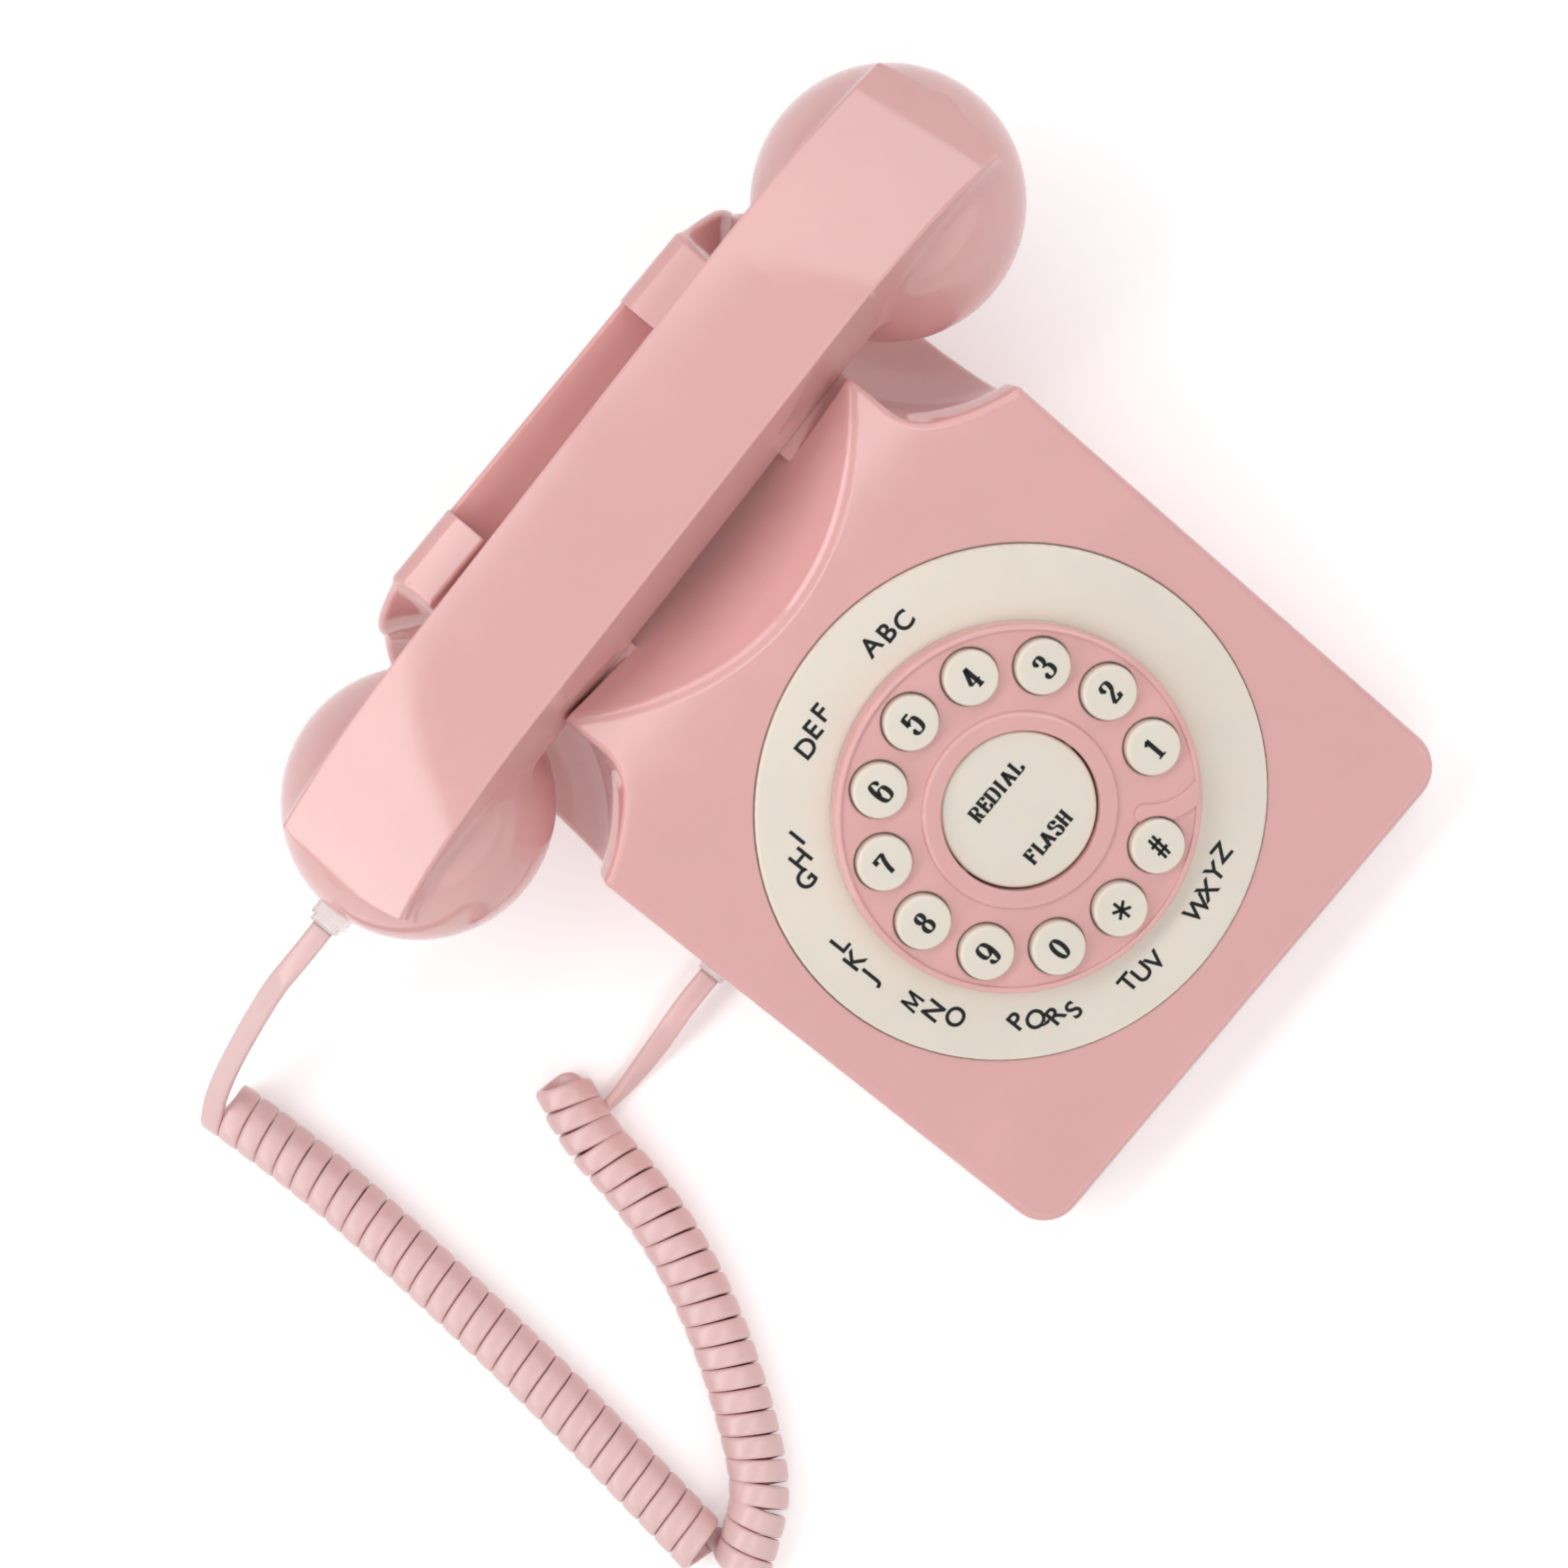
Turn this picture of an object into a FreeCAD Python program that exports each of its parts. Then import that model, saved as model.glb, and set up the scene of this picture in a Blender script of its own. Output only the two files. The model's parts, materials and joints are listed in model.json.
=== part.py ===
"""Push-button desk telephone with a cradled handset and a curly cord, in millimetres.

The origin is on the table under the middle of the case: +X right, +Y to the rear, +Z up.
"""
import FreeCAD, Part
import Sketcher
import math
import os
import re
from FreeCAD import Placement, Rotation, Vector

# Driving dimensions, in millimetres and degrees
DIMENSIONS = {
    # case
    "body_width": 135.0,
    "body_length": 198.0,
    "brow_height": 75.21,
    "ear_height": 84.0,
    "panel_slope": 21.0,
    "rear_draft": 3.0,
    "wall": 2.5,
    "case_lift": 2.0,
    "front_corner": 8.5,
    "rear_corner": 12.0,
    "panel_edge": 2.0,
    "scoop_edge": 1.4,
    "grip_edge": 4.0,
    "ear_edge": 0.8,
    "ear_round": 4.0,
    # cradle, side scoops for the cups and grip scoop under the handle
    "cradle_height": 73.0,
    "channel_width": 36.6,
    "tower_width": 92.0,
    "cup_scoop_radius": 39.0,
    "cup_scoop_height": 52.0,
    "cup_scoop_flare": 50.0,
    "cup_scoop_ahead": 4.1,
    "scoop_blend": 12.0,
    "rear_inset": 33.4,
    "scoop_reach": 39.0,
    "scoop_radius": 81.0,
    "scoop_fall": 20.0,
    "tunnel_width": 50.0,
    "grip_width": 56.0,
    "trough_rise": 32.0,
    # base plate, feet and screws
    "plate_thickness": 2.5,
    "fit_gap": 0.25,
    "foot_radius": 6.0,
    "foot_height": 3.0,
    "foot_inset_x": 19.5,
    "foot_inset_y": 23.0,
    "boss_radius": 4.0,
    "boss_inset_x": 11.0,
    "boss_inset_y": 12.0,
    "screw_radius": 1.25,
    "screw_length": 11.0,
    "head_radius": 2.75,
    "head_height": 1.5,
    "pilot_gap": 0.05,
    # dial group
    "dial_inset": 65.2,
    "ring_radius": 56.0,
    "ring_bore": 38.2,
    "ring_recess": 1.5,
    "ring_proud": 0.8,
    "ring_edge": 0.6,
    "panel_bore": 44.0,
    "disc_radius": 40.0,
    "disc_height": 5.3,
    "disc_wall": 2.0,
    "disc_rim_height": 0.5,
    "disc_rim_width": 1.5,
    "disc_edge": 0.9,
    "hub_radius": 21.4,
    "hub_height": 0.9,
    "hub_edge": 0.8,
    "stop_width": 4.2,
    "stop_height": 0.6,
    "stop_radius": 14.5,
    "stop_start": 215.0,
    "stop_sweep": 70.0,
    "key_radius": 5.95,
    "key_gap": 0.4,
    "key_circle": 31.1,
    "key_first": -25.3,
    "key_step": 29.07,
    "key_proud": 2.2,
    "key_edge": 0.7,
    "key_flange": 6.6,
    "key_flange_height": 1.0,
    "key_seat_gap": 0.1,
    "rocker_radius": 16.9,
    "rocker_gap": 0.4,
    "rocker_top": 5.0,
    "rocker_thickness": 3.0,
    "pivot_height": 1.6,
    "pivot_radius": 1.2,
    "pivot_gap": 0.05,
    "saddle_width": 6.0,
    "saddle_length": 2.2,
    "rocker_pad_y": 11.0,
    "pad_radius": 2.6,
    "mat_radius": 35.5,
    "mat_thickness": 1.0,
    "board_radius": 48.0,
    "board_thickness": 1.6,
    "post_radius": 2.4,
    "post_circle": 21.5,
    "post_gap": 0.4,
    # parts on the base plate
    "standoff": 3.0,
    "main_board_width": 84.0,
    "main_board_length": 60.0,
    "main_board_y": 18.0,
    "main_screw_inset": 5.0,
    "chip_width": 14.0,
    "chip_height": 2.0,
    "capacitor_radius": 3.0,
    "capacitor_height": 9.0,
    "capacitor_step": 13.0,
    "capacitor_inset": 14.0,
    "ringer_radius": 22.0,
    "ringer_height": 12.0,
    "ringer_flange": 3.0,
    "ringer_step": 6.0,
    "ringer_cap": 4.0,
    "ringer_y": -52.0,
    "line_jack_x": -30.0,
    "line_jack_width": 14.0,
    "line_jack_height": 12.5,
    "line_jack_depth": 12.0,
    "line_slot_width": 9.8,
    "line_slot_height": 6.8,
    "handset_jack_y": -3.8,
    "cord_jack_width": 10.8,
    "cord_jack_height": 10.4,
    "cord_jack_depth": 12.0,
    "plug_width": 7.65,
    "plug_height": 6.5,
    "plug_length": 14.0,
    "plug_outside": 6.0,
    "plug_tail": 1.5,
    "plug_tail_step": 0.7,
    "plug_gap": 0.1,
    # hook switch
    "plunger_radius": 4.0,
    "plunger_x": 37.5,
    "plunger_gap": 0.3,
    "plunger_drop": 0.1,
    "hook_bar_height": 46.0,
    "hook_bar_thickness": 4.0,
    "hook_bar_width": 8.0,
    "hook_stem_radius": 3.0,
    "hook_stem_gap": 0.08,
    "hook_guide_height": 30.0,
    "hook_guide_span": 40.0,
    "hook_switch_height": 12.5,
    "hook_button_height": 3.0,
    "spring_wall": 2.0,
    # handset
    "handset_yaw": 1.6,
    "cup_spacing": 161.6,
    "cup_radius": 29.3,
    "cup_height": 62.0,
    "cup_open": 44.0,
    "cup_bottom": 39.0,
    "handle_top": 100.0,
    "handle_lift": 0.3,
    "handle_top_width": 30.4,
    "handle_foot_width": 32.8,
    "handle_bend_start": 50.0,
    "handle_bend_radius": 83.0,
    "handle_reach": 102.2,
    "handle_end_radius": 60.0,
    "handle_edge": 0.6,
    "neck_edge": 6.0,
    "handset_wall": 2.5,
    "cover_length": 95.0,
    "cover_screw_x": 40.0,
    "weight_length": 56.0,
    "weight_width": 18.0,
    "weight_height": 8.0,
    "capsule_radius": 17.0,
    "receiver_height": 9.0,
    "microphone_height": 6.0,
    "cap_plate": 2.5,
    "cap_spigot": 5.0,
    "sound_hole": 1.2,
    "socket_height": 60.0,
    "socket_inset": 1.6,
    # cord
    "cord_thickness": 4.0,
    "curl_radius": 4.8,
    "coil_height": 7.0,
    "coil_run": 8.0,
    "plug_run": 9.5,
    # places that follow from the sizes above
    "handset_y": "=body_length / 2 - rear_inset",
    "scoop_front": "=handset_y - scoop_reach",
    "cup_scoop_y": "=handset_y - cup_scoop_ahead",
    "dial_y": "=dial_inset - body_length / 2",
}

# Route points of the cord's plain leads and of its two curled legs, chosen by hand
LEAD_POINTS = [(-133.0, 63.3, 55.0)]
NEAR_LEG = [(-168.9, 62.9), (-166.6, 38.5), (-167.0, 7.6), (-168.2, -23.1), (-170.2, -54.2),
            (-172.0, -86.0)]
FAR_LEG = [(-155.5, -89.0), (-143.0, -72.0), (-131.9, -53.2), (-124.7, -35.5), (-121.0, -20.0),
           (-119.4, -4.9)]
BASE_LEAD_POINTS = [(-97.0, -4.6, 3.5), (-88.5, -4.3, 7.8)]
NEAR_TURNS = 28
FAR_TURNS = 17

KEY_NAMES = ["key_1", "key_2", "key_3", "key_4", "key_5", "key_6", "key_7", "key_8", "key_9",
             "key_0", "key_star", "key_hash"]
X_AXIS, Y_AXIS, Z_AXIS = Vector(1, 0, 0), Vector(0, 1, 0), Vector(0, 0, 1)
FAR = 400.0

doc = FreeCAD.newDocument("desk_telephone")
sheet = doc.addObject("Spreadsheet::Sheet", "dims")
nodes = {}


def fill_sheet():
    """Write one cell with an alias for each driving dimension."""
    for row, (alias, size) in enumerate(DIMENSIONS.items(), start=1):
        sheet.set(f"A{row}", alias)
        sheet.set(f"B{row}", str(size))
        sheet.setAlias(f"B{row}", alias)
    doc.recompute()


def size(alias):
    """A driving dimension as a number, read from the sheet."""
    return float(sheet.get(alias))


def formula(text):
    """The text with each dimension's name turned into a reference to its cell."""
    return re.sub(r"[a-z]\w*", lambda m: "dims." + m[0] if m[0] in DIMENSIONS else m[0], str(text))


def bind(obj, **sizes):
    """Bind properties of an object to formulas of the driving dimensions."""
    for prop, text in sizes.items():
        obj.setExpression(prop.replace("__", "."), formula(text))


def put(obj, x=0, y=0, z=0, axis=Z_AXIS, angle=0):
    """Place an object at formulas x, y, z, turned about an axis by a formula in degrees."""
    obj.Placement = Placement(Vector(), Rotation(axis, 1))
    bind(obj, Placement__Base__x=x, Placement__Base__y=y, Placement__Base__z=z,
         Placement__Rotation__Angle=angle)
    return obj


def add(kind, name):
    """A new document object."""
    return doc.addObject(kind, name)


def box(name, x, y, z):
    """A box between pairs of formulas for x, y and z."""
    block = add("Part::Box", name)
    bind(block, Length=f"({x[1]}) - ({x[0]})", Width=f"({y[1]}) - ({y[0]})", Height=f"({z[1]}) - ({z[0]})")
    return put(block, x[0], y[0], z[0])


def mid_box(name, x, y, z, width, depth):
    """A box centred on x and y, with z as a pair of formulas."""
    return box(name, (f"{x} - ({width}) / 2", f"{x} + ({width}) / 2"),
               (f"{y} - ({depth}) / 2", f"{y} + ({depth}) / 2"), z)


def rod(name, radius, x, y, z):
    """An upright cylinder from z[0] to z[1]."""
    cylinder = add("Part::Cylinder", name)
    bind(cylinder, Radius=radius, Height=f"({z[1]}) - ({z[0]})")
    return put(cylinder, x, y, z[0])


def bar(name, radius, x, y, z):
    """A cylinder along X from x[0] to x[1]."""
    cylinder = add("Part::Cylinder", name)
    bind(cylinder, Radius=radius, Height=f"({x[1]}) - ({x[0]})")
    return put(cylinder, x[0], y, z, Y_AXIS, 90)


def ball(name, radius, x, y, z):
    """A sphere."""
    sphere = add("Part::Sphere", name)
    bind(sphere, Radius=radius)
    return put(sphere, x, y, z)


def fuse(name, shapes):
    """Shapes joined, or kept as separate solids where they don't touch."""
    joined = add("Part::MultiFuse", name)
    joined.Shapes = shapes
    return joined


def common(name, shapes):
    """What the shapes share."""
    shared = add("Part::MultiCommon", name)
    shared.Shapes = shapes
    return shared


def cut(name, base, tools):
    """A shape with one tool or several cut from it."""
    result = add("Part::Cut", name)
    result.Base = base
    result.Tool = tools[0] if len(tools) == 1 else fuse(name + "_tools", tools)
    return result


def rounded(name, base, radius_of):
    """A shape with a fillet on each edge for which radius_of(edge) isn't 0."""
    doc.recompute()
    fillet = add("Part::Fillet", name)
    fillet.Base = base
    radii = [(number, radius_of(edge)) for number, edge in enumerate(base.Shape.Edges, start=1)
             if is_sharp(base.Shape, edge)]
    fillet.Edges = [(number, radius, radius) for number, radius in radii if radius]
    return fillet


def is_sharp(shape, edge):
    """Whether the two faces of a shape that share an edge meet there at an angle."""
    faces = shape.ancestorsOfType(edge, Part.Face)
    if len(faces) < 2 or edge.Length < 1e-3:
        return False
    middle = edge.valueAt((edge.FirstParameter + edge.LastParameter) / 2)
    first, second = [face.normalAt(*face.Surface.parameter(middle)) for face in faces[:2]]
    return first.getAngle(second) > math.radians(2)


def at_circle(circle_radius, height, radius):
    """A choice of radius for rounded: the circle of one radius at one height."""
    return lambda edge: radius if is_circle_at(edge, circle_radius, height) else 0


def at_corners(drawn_in):
    """A choice of radii for rounded: the case's upright corners, with its walls drawn in."""
    def radius_of(edge):
        if not is_upright(edge):
            return 0
        return size("front_corner" if edge.CenterOfMass.y < 0 else "rear_corner") - drawn_in
    return radius_of


def is_upright(edge):
    """Whether an edge is a straight line along Z, or leans a little from it."""
    return isinstance(edge.Curve, Part.Line) and abs(edge.tangentAt(edge.FirstParameter).z) > 0.98


def is_circle_at(edge, radius, height):
    """Whether an edge is a circle of a radius, at a height."""
    if not isinstance(edge.Curve, Part.Circle):
        return False
    return abs(edge.Curve.Radius - radius) < 1e-4 and abs(edge.Curve.Center.z - height) < 1e-4


def node(label, obj):
    """Name a finished sub-part."""
    obj.Label = label
    nodes[label] = obj
    return obj


def on_dial(label, obj):
    """Name a sub-part of the dial group and set it on the sloping panel."""
    put(obj, 0, "dial_y", PANEL_HEIGHT.format(y="dial_y"), X_AXIS, "panel_slope")
    return node(label, obj)


def on_handset(label, obj):
    """Name a sub-part of the handset and set it on the cradle."""
    put(obj, 0, "handset_y", 0, Z_AXIS, "handset_yaw")
    return node(label, obj)


def stacked(name, layers):
    """A body of round layers about Z, each of (radius, lower height, upper height) formulas."""
    body = add("PartDesign::Body", name)
    plane = [feature for feature in body.Origin.OriginFeatures if feature.Role == "XY_Plane"][0]
    for number, (radius, low, high) in enumerate(layers):
        sketch = body.newObject("Sketcher::SketchObject", f"{name}_circle_{number}")
        sketch.AttachmentSupport = (plane, "")
        sketch.MapMode = "FlatFace"
        bind(sketch, AttachmentOffset__Base__z=low)
        sketch.addGeometry(Part.Circle(Vector(), Z_AXIS, 1), False)
        sketch.addConstraint(Sketcher.Constraint("Coincident", 0, 3, -1, 1))
        index = sketch.addConstraint(Sketcher.Constraint("Radius", 0, 1.0))
        sketch.setExpression(f"Constraints[{index}]", formula(radius))
        pad = body.newObject("PartDesign::Pad", f"{name}_layer_{number}")
        pad.Profile = sketch
        bind(pad, Length=f"({high}) - ({low})")
    return body


def soften(body, radius, chosen):
    """Add a fillet to a body, on each edge of its last feature that chosen(edge) picks."""
    doc.recompute()
    tip = body.Tip
    edges = [f"Edge{i}" for i, edge in enumerate(tip.Shape.Edges, start=1) if chosen(edge)]
    fillet = body.newObject("PartDesign::Fillet", body.Name + "_edge")
    fillet.Base = (tip, edges)
    bind(fillet, Radius=radius)
    return body


def screws(name, places, seat):
    """Screws at places (x, y), each with its head under the height seat and its shank above it."""
    solids = []
    for number, (x, y) in enumerate(places):
        head = rod(f"{name}_head_{number}", "head_radius", x, y, (f"{seat} - head_height", seat))
        shank = rod(f"{name}_shank_{number}", "screw_radius", x, y, (seat, f"{seat} + screw_length"))
        solids.append(fuse(f"{name}_{number}", [head, shank]))
    return fuse(name, solids)


def pilot_holes(name, places, low):
    """Holes for the shanks of screws at places (x, y), from the height low upwards."""
    return [rod(f"{name}_{number}", "screw_radius + pilot_gap", x, y, (low, f"{low} + screw_length"))
            for number, (x, y) in enumerate(places)]


def corners(x, y, middle_y="0"):
    """The four corners at plus and minus x, and y either side of middle_y."""
    return [(f"{sx}({x})", f"{middle_y} {sy} ({y})") for sx in ("-", "") for sy in ("-", "+")]


PANEL_HEIGHT = "(brow_height + ({y} - scoop_front) * tan(panel_slope))"
VALLEY_HEIGHT = ("(" + PANEL_HEIGHT.format(y="scoop_front")
                 + " - (handset_y - scoop_front) * tan(scoop_fall))")
CHANNEL_FRONT = "(handset_y - channel_width / 2)"
PLATE_TOP = "(case_lift + plate_thickness)"
SIDE_FACE = "(-body_width / 2 + fit_gap)"
JACK_HEIGHT = f"({PLATE_TOP} + cord_jack_height / 2)"
BASE_SCREWS = corners("body_width / 2 - boss_inset_x", "body_length / 2 - boss_inset_y")
FEET = corners("body_width / 2 - foot_inset_x", "body_length / 2 - foot_inset_y")
MAIN_SCREWS = corners("main_board_width / 2 - main_screw_inset", "main_board_length / 2 - main_screw_inset",
                      "main_board_y")


def case_solid(name, inset):
    """The case's solid form, drawn in on every face by the formula inset."""
    reach = "(body_width)"
    side = f"(body_width / 2 - ({inset}))"
    blank = box(name + "_block", (f"-{side}", side),
                (f"-body_length / 2 + ({inset})", "body_length / 2 + wall"),
                (f"case_lift - ({inset})", f"ear_height - ({inset})"))
    drawn_in = 0 if inset == "0" else size(inset)
    rear = box(name + "_rear", (f"-{reach}", reach), (0, FAR), (0, FAR))
    put(rear, f"-{reach}", f"body_length / 2 + wall * tan(rear_draft) - ({inset}) / cos(rear_draft)", "-wall",
        X_AXIS, "rear_draft")
    plan = rounded(name + "_plan", cut(name + "_drafted", blank, [rear]), at_corners(drawn_in))

    panel = box(name + "_panel", (f"-{reach}", reach), (0, FAR), (0, FAR))
    put(panel, f"-{reach}", "-body_length",
        PANEL_HEIGHT.format(y="-body_length") + f" - ({inset}) / cos(panel_slope)", X_AXIS, "panel_slope")
    channel = mid_box(name + "_channel", 0, "handset_y", (f"cradle_height - ({inset})", FAR),
                      2 * FAR, f"channel_width + 2 * ({inset})")

    tools = [panel, channel]
    for side, sign in (("left", "-"), ("right", "")):
        bowl = cup_bowl(f"{name}_bowl_{side}", inset, f"{sign}cup_spacing / 2")
        inner = f"tower_width / 2 - ({inset})"
        span = (inner, FAR) if side == "right" else (-FAR, f"-({inner})")
        beside = box(f"{name}_beside_{side}", span, (-FAR, FAR), (-FAR, FAR))
        tools.append(rounded(f"{name}_scoop_{side}", common(f"{name}_room_{side}", [bowl, beside]),
                             along_tower(drawn_in)))

    roller = add("Part::Cylinder", name + "_roller")
    bind(roller, Radius=f"scoop_radius + ({inset})", Height=FAR)
    put(roller, 0, f"scoop_front + scoop_radius * sin(scoop_fall) - {FAR / 2} * cos(scoop_fall)",
        PANEL_HEIGHT.format(y="scoop_front")
        + f" + scoop_radius * cos(scoop_fall) + {FAR / 2} * sin(scoop_fall)", X_AXIS, "-(90 + scoop_fall)")
    grip = f"grip_width + 2 * ({inset})"
    before = box(name + "_before", (-FAR, FAR), (-FAR, CHANNEL_FRONT), (0, FAR))
    tunnel = f"(tunnel_width / 2 + ({inset}))"
    under = box(name + "_under", (f"-{tunnel}", tunnel), (CHANNEL_FRONT, "handset_y"), (0, FAR))
    tools.append(common(name + "_front_grip", [roller, fuse(name + "_grip_room", [before, under])]))

    ramp = box(name + "_ramp", (f"-({grip}) / 2", f"({grip}) / 2"), (0, FAR), (0, FAR))
    put(ramp, f"-({grip}) / 2", "handset_y - body_length",
        VALLEY_HEIGHT + f" - body_length * tan(trough_rise) - ({inset}) / cos(trough_rise)",
        X_AXIS, "trough_rise")
    behind = box(name + "_behind", (-FAR, FAR), ("handset_y", FAR), (0, FAR))
    tools.append(common(name + "_rear_grip", [ramp, behind]))
    return cut(name, plan, tools)


def cup_bowl(name, inset, x):
    """The room for a cup: half a ball below, and above it a flare that widens upwards."""
    floor = ball(name + "_floor", f"cup_scoop_radius + ({inset})", x, "cup_scoop_y", "cup_scoop_height")
    shoulder = add("Part::Torus", name + "_shoulder")
    bind(shoulder, Radius1="cup_scoop_radius + cup_scoop_flare", Radius2=f"cup_scoop_flare - ({inset})")
    put(shoulder, x, "cup_scoop_y", "cup_scoop_height")
    upper = rod(name + "_upper", "cup_scoop_radius + cup_scoop_flare / 2", x, "cup_scoop_y",
                ("cup_scoop_height", "cup_scoop_height + 0.8 * cup_scoop_flare"))
    return fuse(name, [floor, cut(name + "_flare", upper, [shoulder])])


def along_tower(drawn_in):
    """A choice of radii for rounded: where a cup's room meets the tower's side, drawn in."""
    def radius_of(edge):
        off_side = [abs(abs(point.x) - size("tower_width") / 2 + drawn_in) for point in edge.discretize(5)]
        is_low = edge.CenterOfMass.z < size("ear_height")
        return size("scoop_blend") + drawn_in if max(off_side) < 1e-3 and is_low else 0
    return radius_of


def off_bowl(point):
    """How far a point is outside the room for a cup."""
    rise = point.z - size("cup_scoop_height")
    radius, flare = size("cup_scoop_radius"), size("cup_scoop_flare")
    across = math.hypot(abs(point.x) - size("cup_spacing") / 2, point.y - size("cup_scoop_y"))
    if rise < 0:
        return math.hypot(across, rise) - radius
    return flare - math.hypot(radius + flare - across, rise)


def off_panel(point):
    """How far a point is above the panel."""
    slope = math.tan(math.radians(size("panel_slope")))
    return point.z - size("brow_height") - (point.y - size("scoop_front")) * slope


def lies_on(offset, edge):
    """Whether an edge lies where the offset of its points is 0."""
    return max(abs(offset(point)) for point in edge.discretize(5)) < 1e-3


def grip_edge_radius(edge):
    """The radius of the edge between the panel and the grip scoop, or 0 for another edge."""
    is_grip = lies_on(off_panel, edge) and abs(edge.CenterOfMass.x) < 1 and edge.CenterOfMass.y > 0
    return size("grip_edge") if is_grip else 0


def ear_back_radius(edge):
    """The radius of the edge along the back of an ear's top, or 0 for another edge."""
    is_ear_top = min(point.z for point in edge.discretize(5)) > size("ear_height") - 1e-3
    is_back = edge.CenterOfMass.y > size("handset_y") + size("channel_width") / 2 + size("ear_round")
    is_along = abs(edge.tangentAt(edge.FirstParameter).x) > 0.99
    return size("ear_round") if is_ear_top and is_back and is_along else 0


def case_edge_radius(edge):
    """The radius of another outer edge of the case, or 0 for an edge that stays sharp."""
    middle = edge.CenterOfMass
    if lies_on(off_bowl, edge):
        return size("scoop_edge")
    if lies_on(off_panel, edge):
        is_outer = abs(middle.x) > size("body_width") / 2 - size("boss_inset_x") or middle.y < 0
        return size("panel_edge") if is_outer else 0
    is_ear_top = min(point.z for point in edge.discretize(5)) > size("ear_height") - 1e-3
    is_behind = middle.y > size("handset_y") + size("channel_width") / 2
    is_rear_lip = abs(middle.x) < 1 and is_behind and middle.z > size("cradle_height")
    is_ear_front = is_ear_top and abs(edge.tangentAt(edge.FirstParameter).x) > 0.99
    return size("ear_edge") if is_rear_lip or is_ear_front else 0


def make_upper_case():
    """Upper case: a shell with a panel, cradle, cup scoops, screw bosses and openings."""
    lipped = rounded("case_lipped", case_solid("case_outside", "0"), grip_edge_radius)
    eared = rounded("case_eared", lipped, ear_back_radius)
    outside = rounded("case_rounded", eared, case_edge_radius)
    inside = case_solid("case_inside", "wall")
    posts = fuse("case_posts", [rod(f"case_post_{number}", "boss_radius", x, y, (PLATE_TOP, FAR))
                                for number, (x, y) in enumerate(BASE_SCREWS)])
    bosses = common("case_bosses", [outside, posts])
    shell = fuse("case_shell", [cut("case_skin", outside, [inside]), bosses])

    recess = fuse("dial_seat", [
        rod("dial_seat_recess", "ring_radius + fit_gap", 0, 0, ("-ring_recess", "disc_height")),
        rod("dial_seat_bore", "panel_bore", 0, 0, ("-2 * wall", 0)),
    ])
    put(recess, 0, "dial_y", PANEL_HEIGHT.format(y="dial_y"), X_AXIS, "panel_slope")
    side_opening = box("side_opening", ("-body_width", "-body_width / 2 + 2 * wall"),
                       ("handset_jack_y - cord_jack_width / 2 - fit_gap",
                        "handset_jack_y + cord_jack_width / 2 + fit_gap"),
                       (PLATE_TOP, PLATE_TOP + " + cord_jack_height + fit_gap"))
    rear_opening = box("rear_opening", ("line_jack_x - line_jack_width / 2 - fit_gap",
                                        "line_jack_x + line_jack_width / 2 + fit_gap"),
                       ("body_length / 2 - 3 * wall", "body_length"),
                       (PLATE_TOP, PLATE_TOP + " + line_jack_height + fit_gap"))
    plungers = [rod(f"plunger_hole_{side}", "plunger_radius + plunger_gap", f"{side}plunger_x", "handset_y",
                    ("cradle_height - 2 * wall", FAR)) for side in ("-", "+")]
    pilots = pilot_holes("case_pilot", BASE_SCREWS, PLATE_TOP)
    openings = [recess, side_opening, rear_opening] + plungers + pilots
    node("upper_case", cut("case_cut", shell, openings))


def make_base_plate():
    """Base plate with foot recesses, countersunk screw holes, standoffs and sound holes."""
    gap = "(wall + fit_gap)"
    rear_edge = f"body_length / 2 - {gap} - {PLATE_TOP} * tan(rear_draft)"
    blank = box("plate_block", (f"-body_width / 2 + {gap}", f"body_width / 2 - {gap}"),
                (f"-body_length / 2 + {gap}", rear_edge), ("case_lift", PLATE_TOP))
    plan = rounded("plate_plan", blank, at_corners(size("wall") + size("fit_gap")))
    standoffs = [rod(f"standoff_{number}", "boss_radius - 1", x, y, ("case_lift", PLATE_TOP + " + standoff"))
                 for number, (x, y) in enumerate(MAIN_SCREWS)]
    holes = pilot_holes("standoff_pilot", MAIN_SCREWS, f"({PLATE_TOP} + standoff - 4)")
    for number, (x, y) in enumerate(FEET):
        holes.append(rod(f"foot_recess_{number}", "foot_radius + fit_gap", x, y, (0, "foot_height")))
    for number, (x, y) in enumerate(BASE_SCREWS):
        holes.append(rod(f"head_recess_{number}", "head_radius + fit_gap", x, y,
                         (0, "case_lift + head_height")))
        holes.append(rod(f"screw_hole_{number}", "screw_radius + fit_gap", x, y, (0, PLATE_TOP + " + 1")))
    for ring, count in ((0, 1), (6, 6), (12, 12)):
        for number in range(count):
            angle = 360 * number / count
            holes.append(rod(f"sound_{ring}_{number}", "sound_hole", f"{ring} * cos({angle})",
                             f"ringer_y + {ring} * sin({angle})", (0, PLATE_TOP + " + 1")))
    node("base_plate", cut("plate_cut", fuse("plate_solid", [plan] + standoffs), holes))


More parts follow.
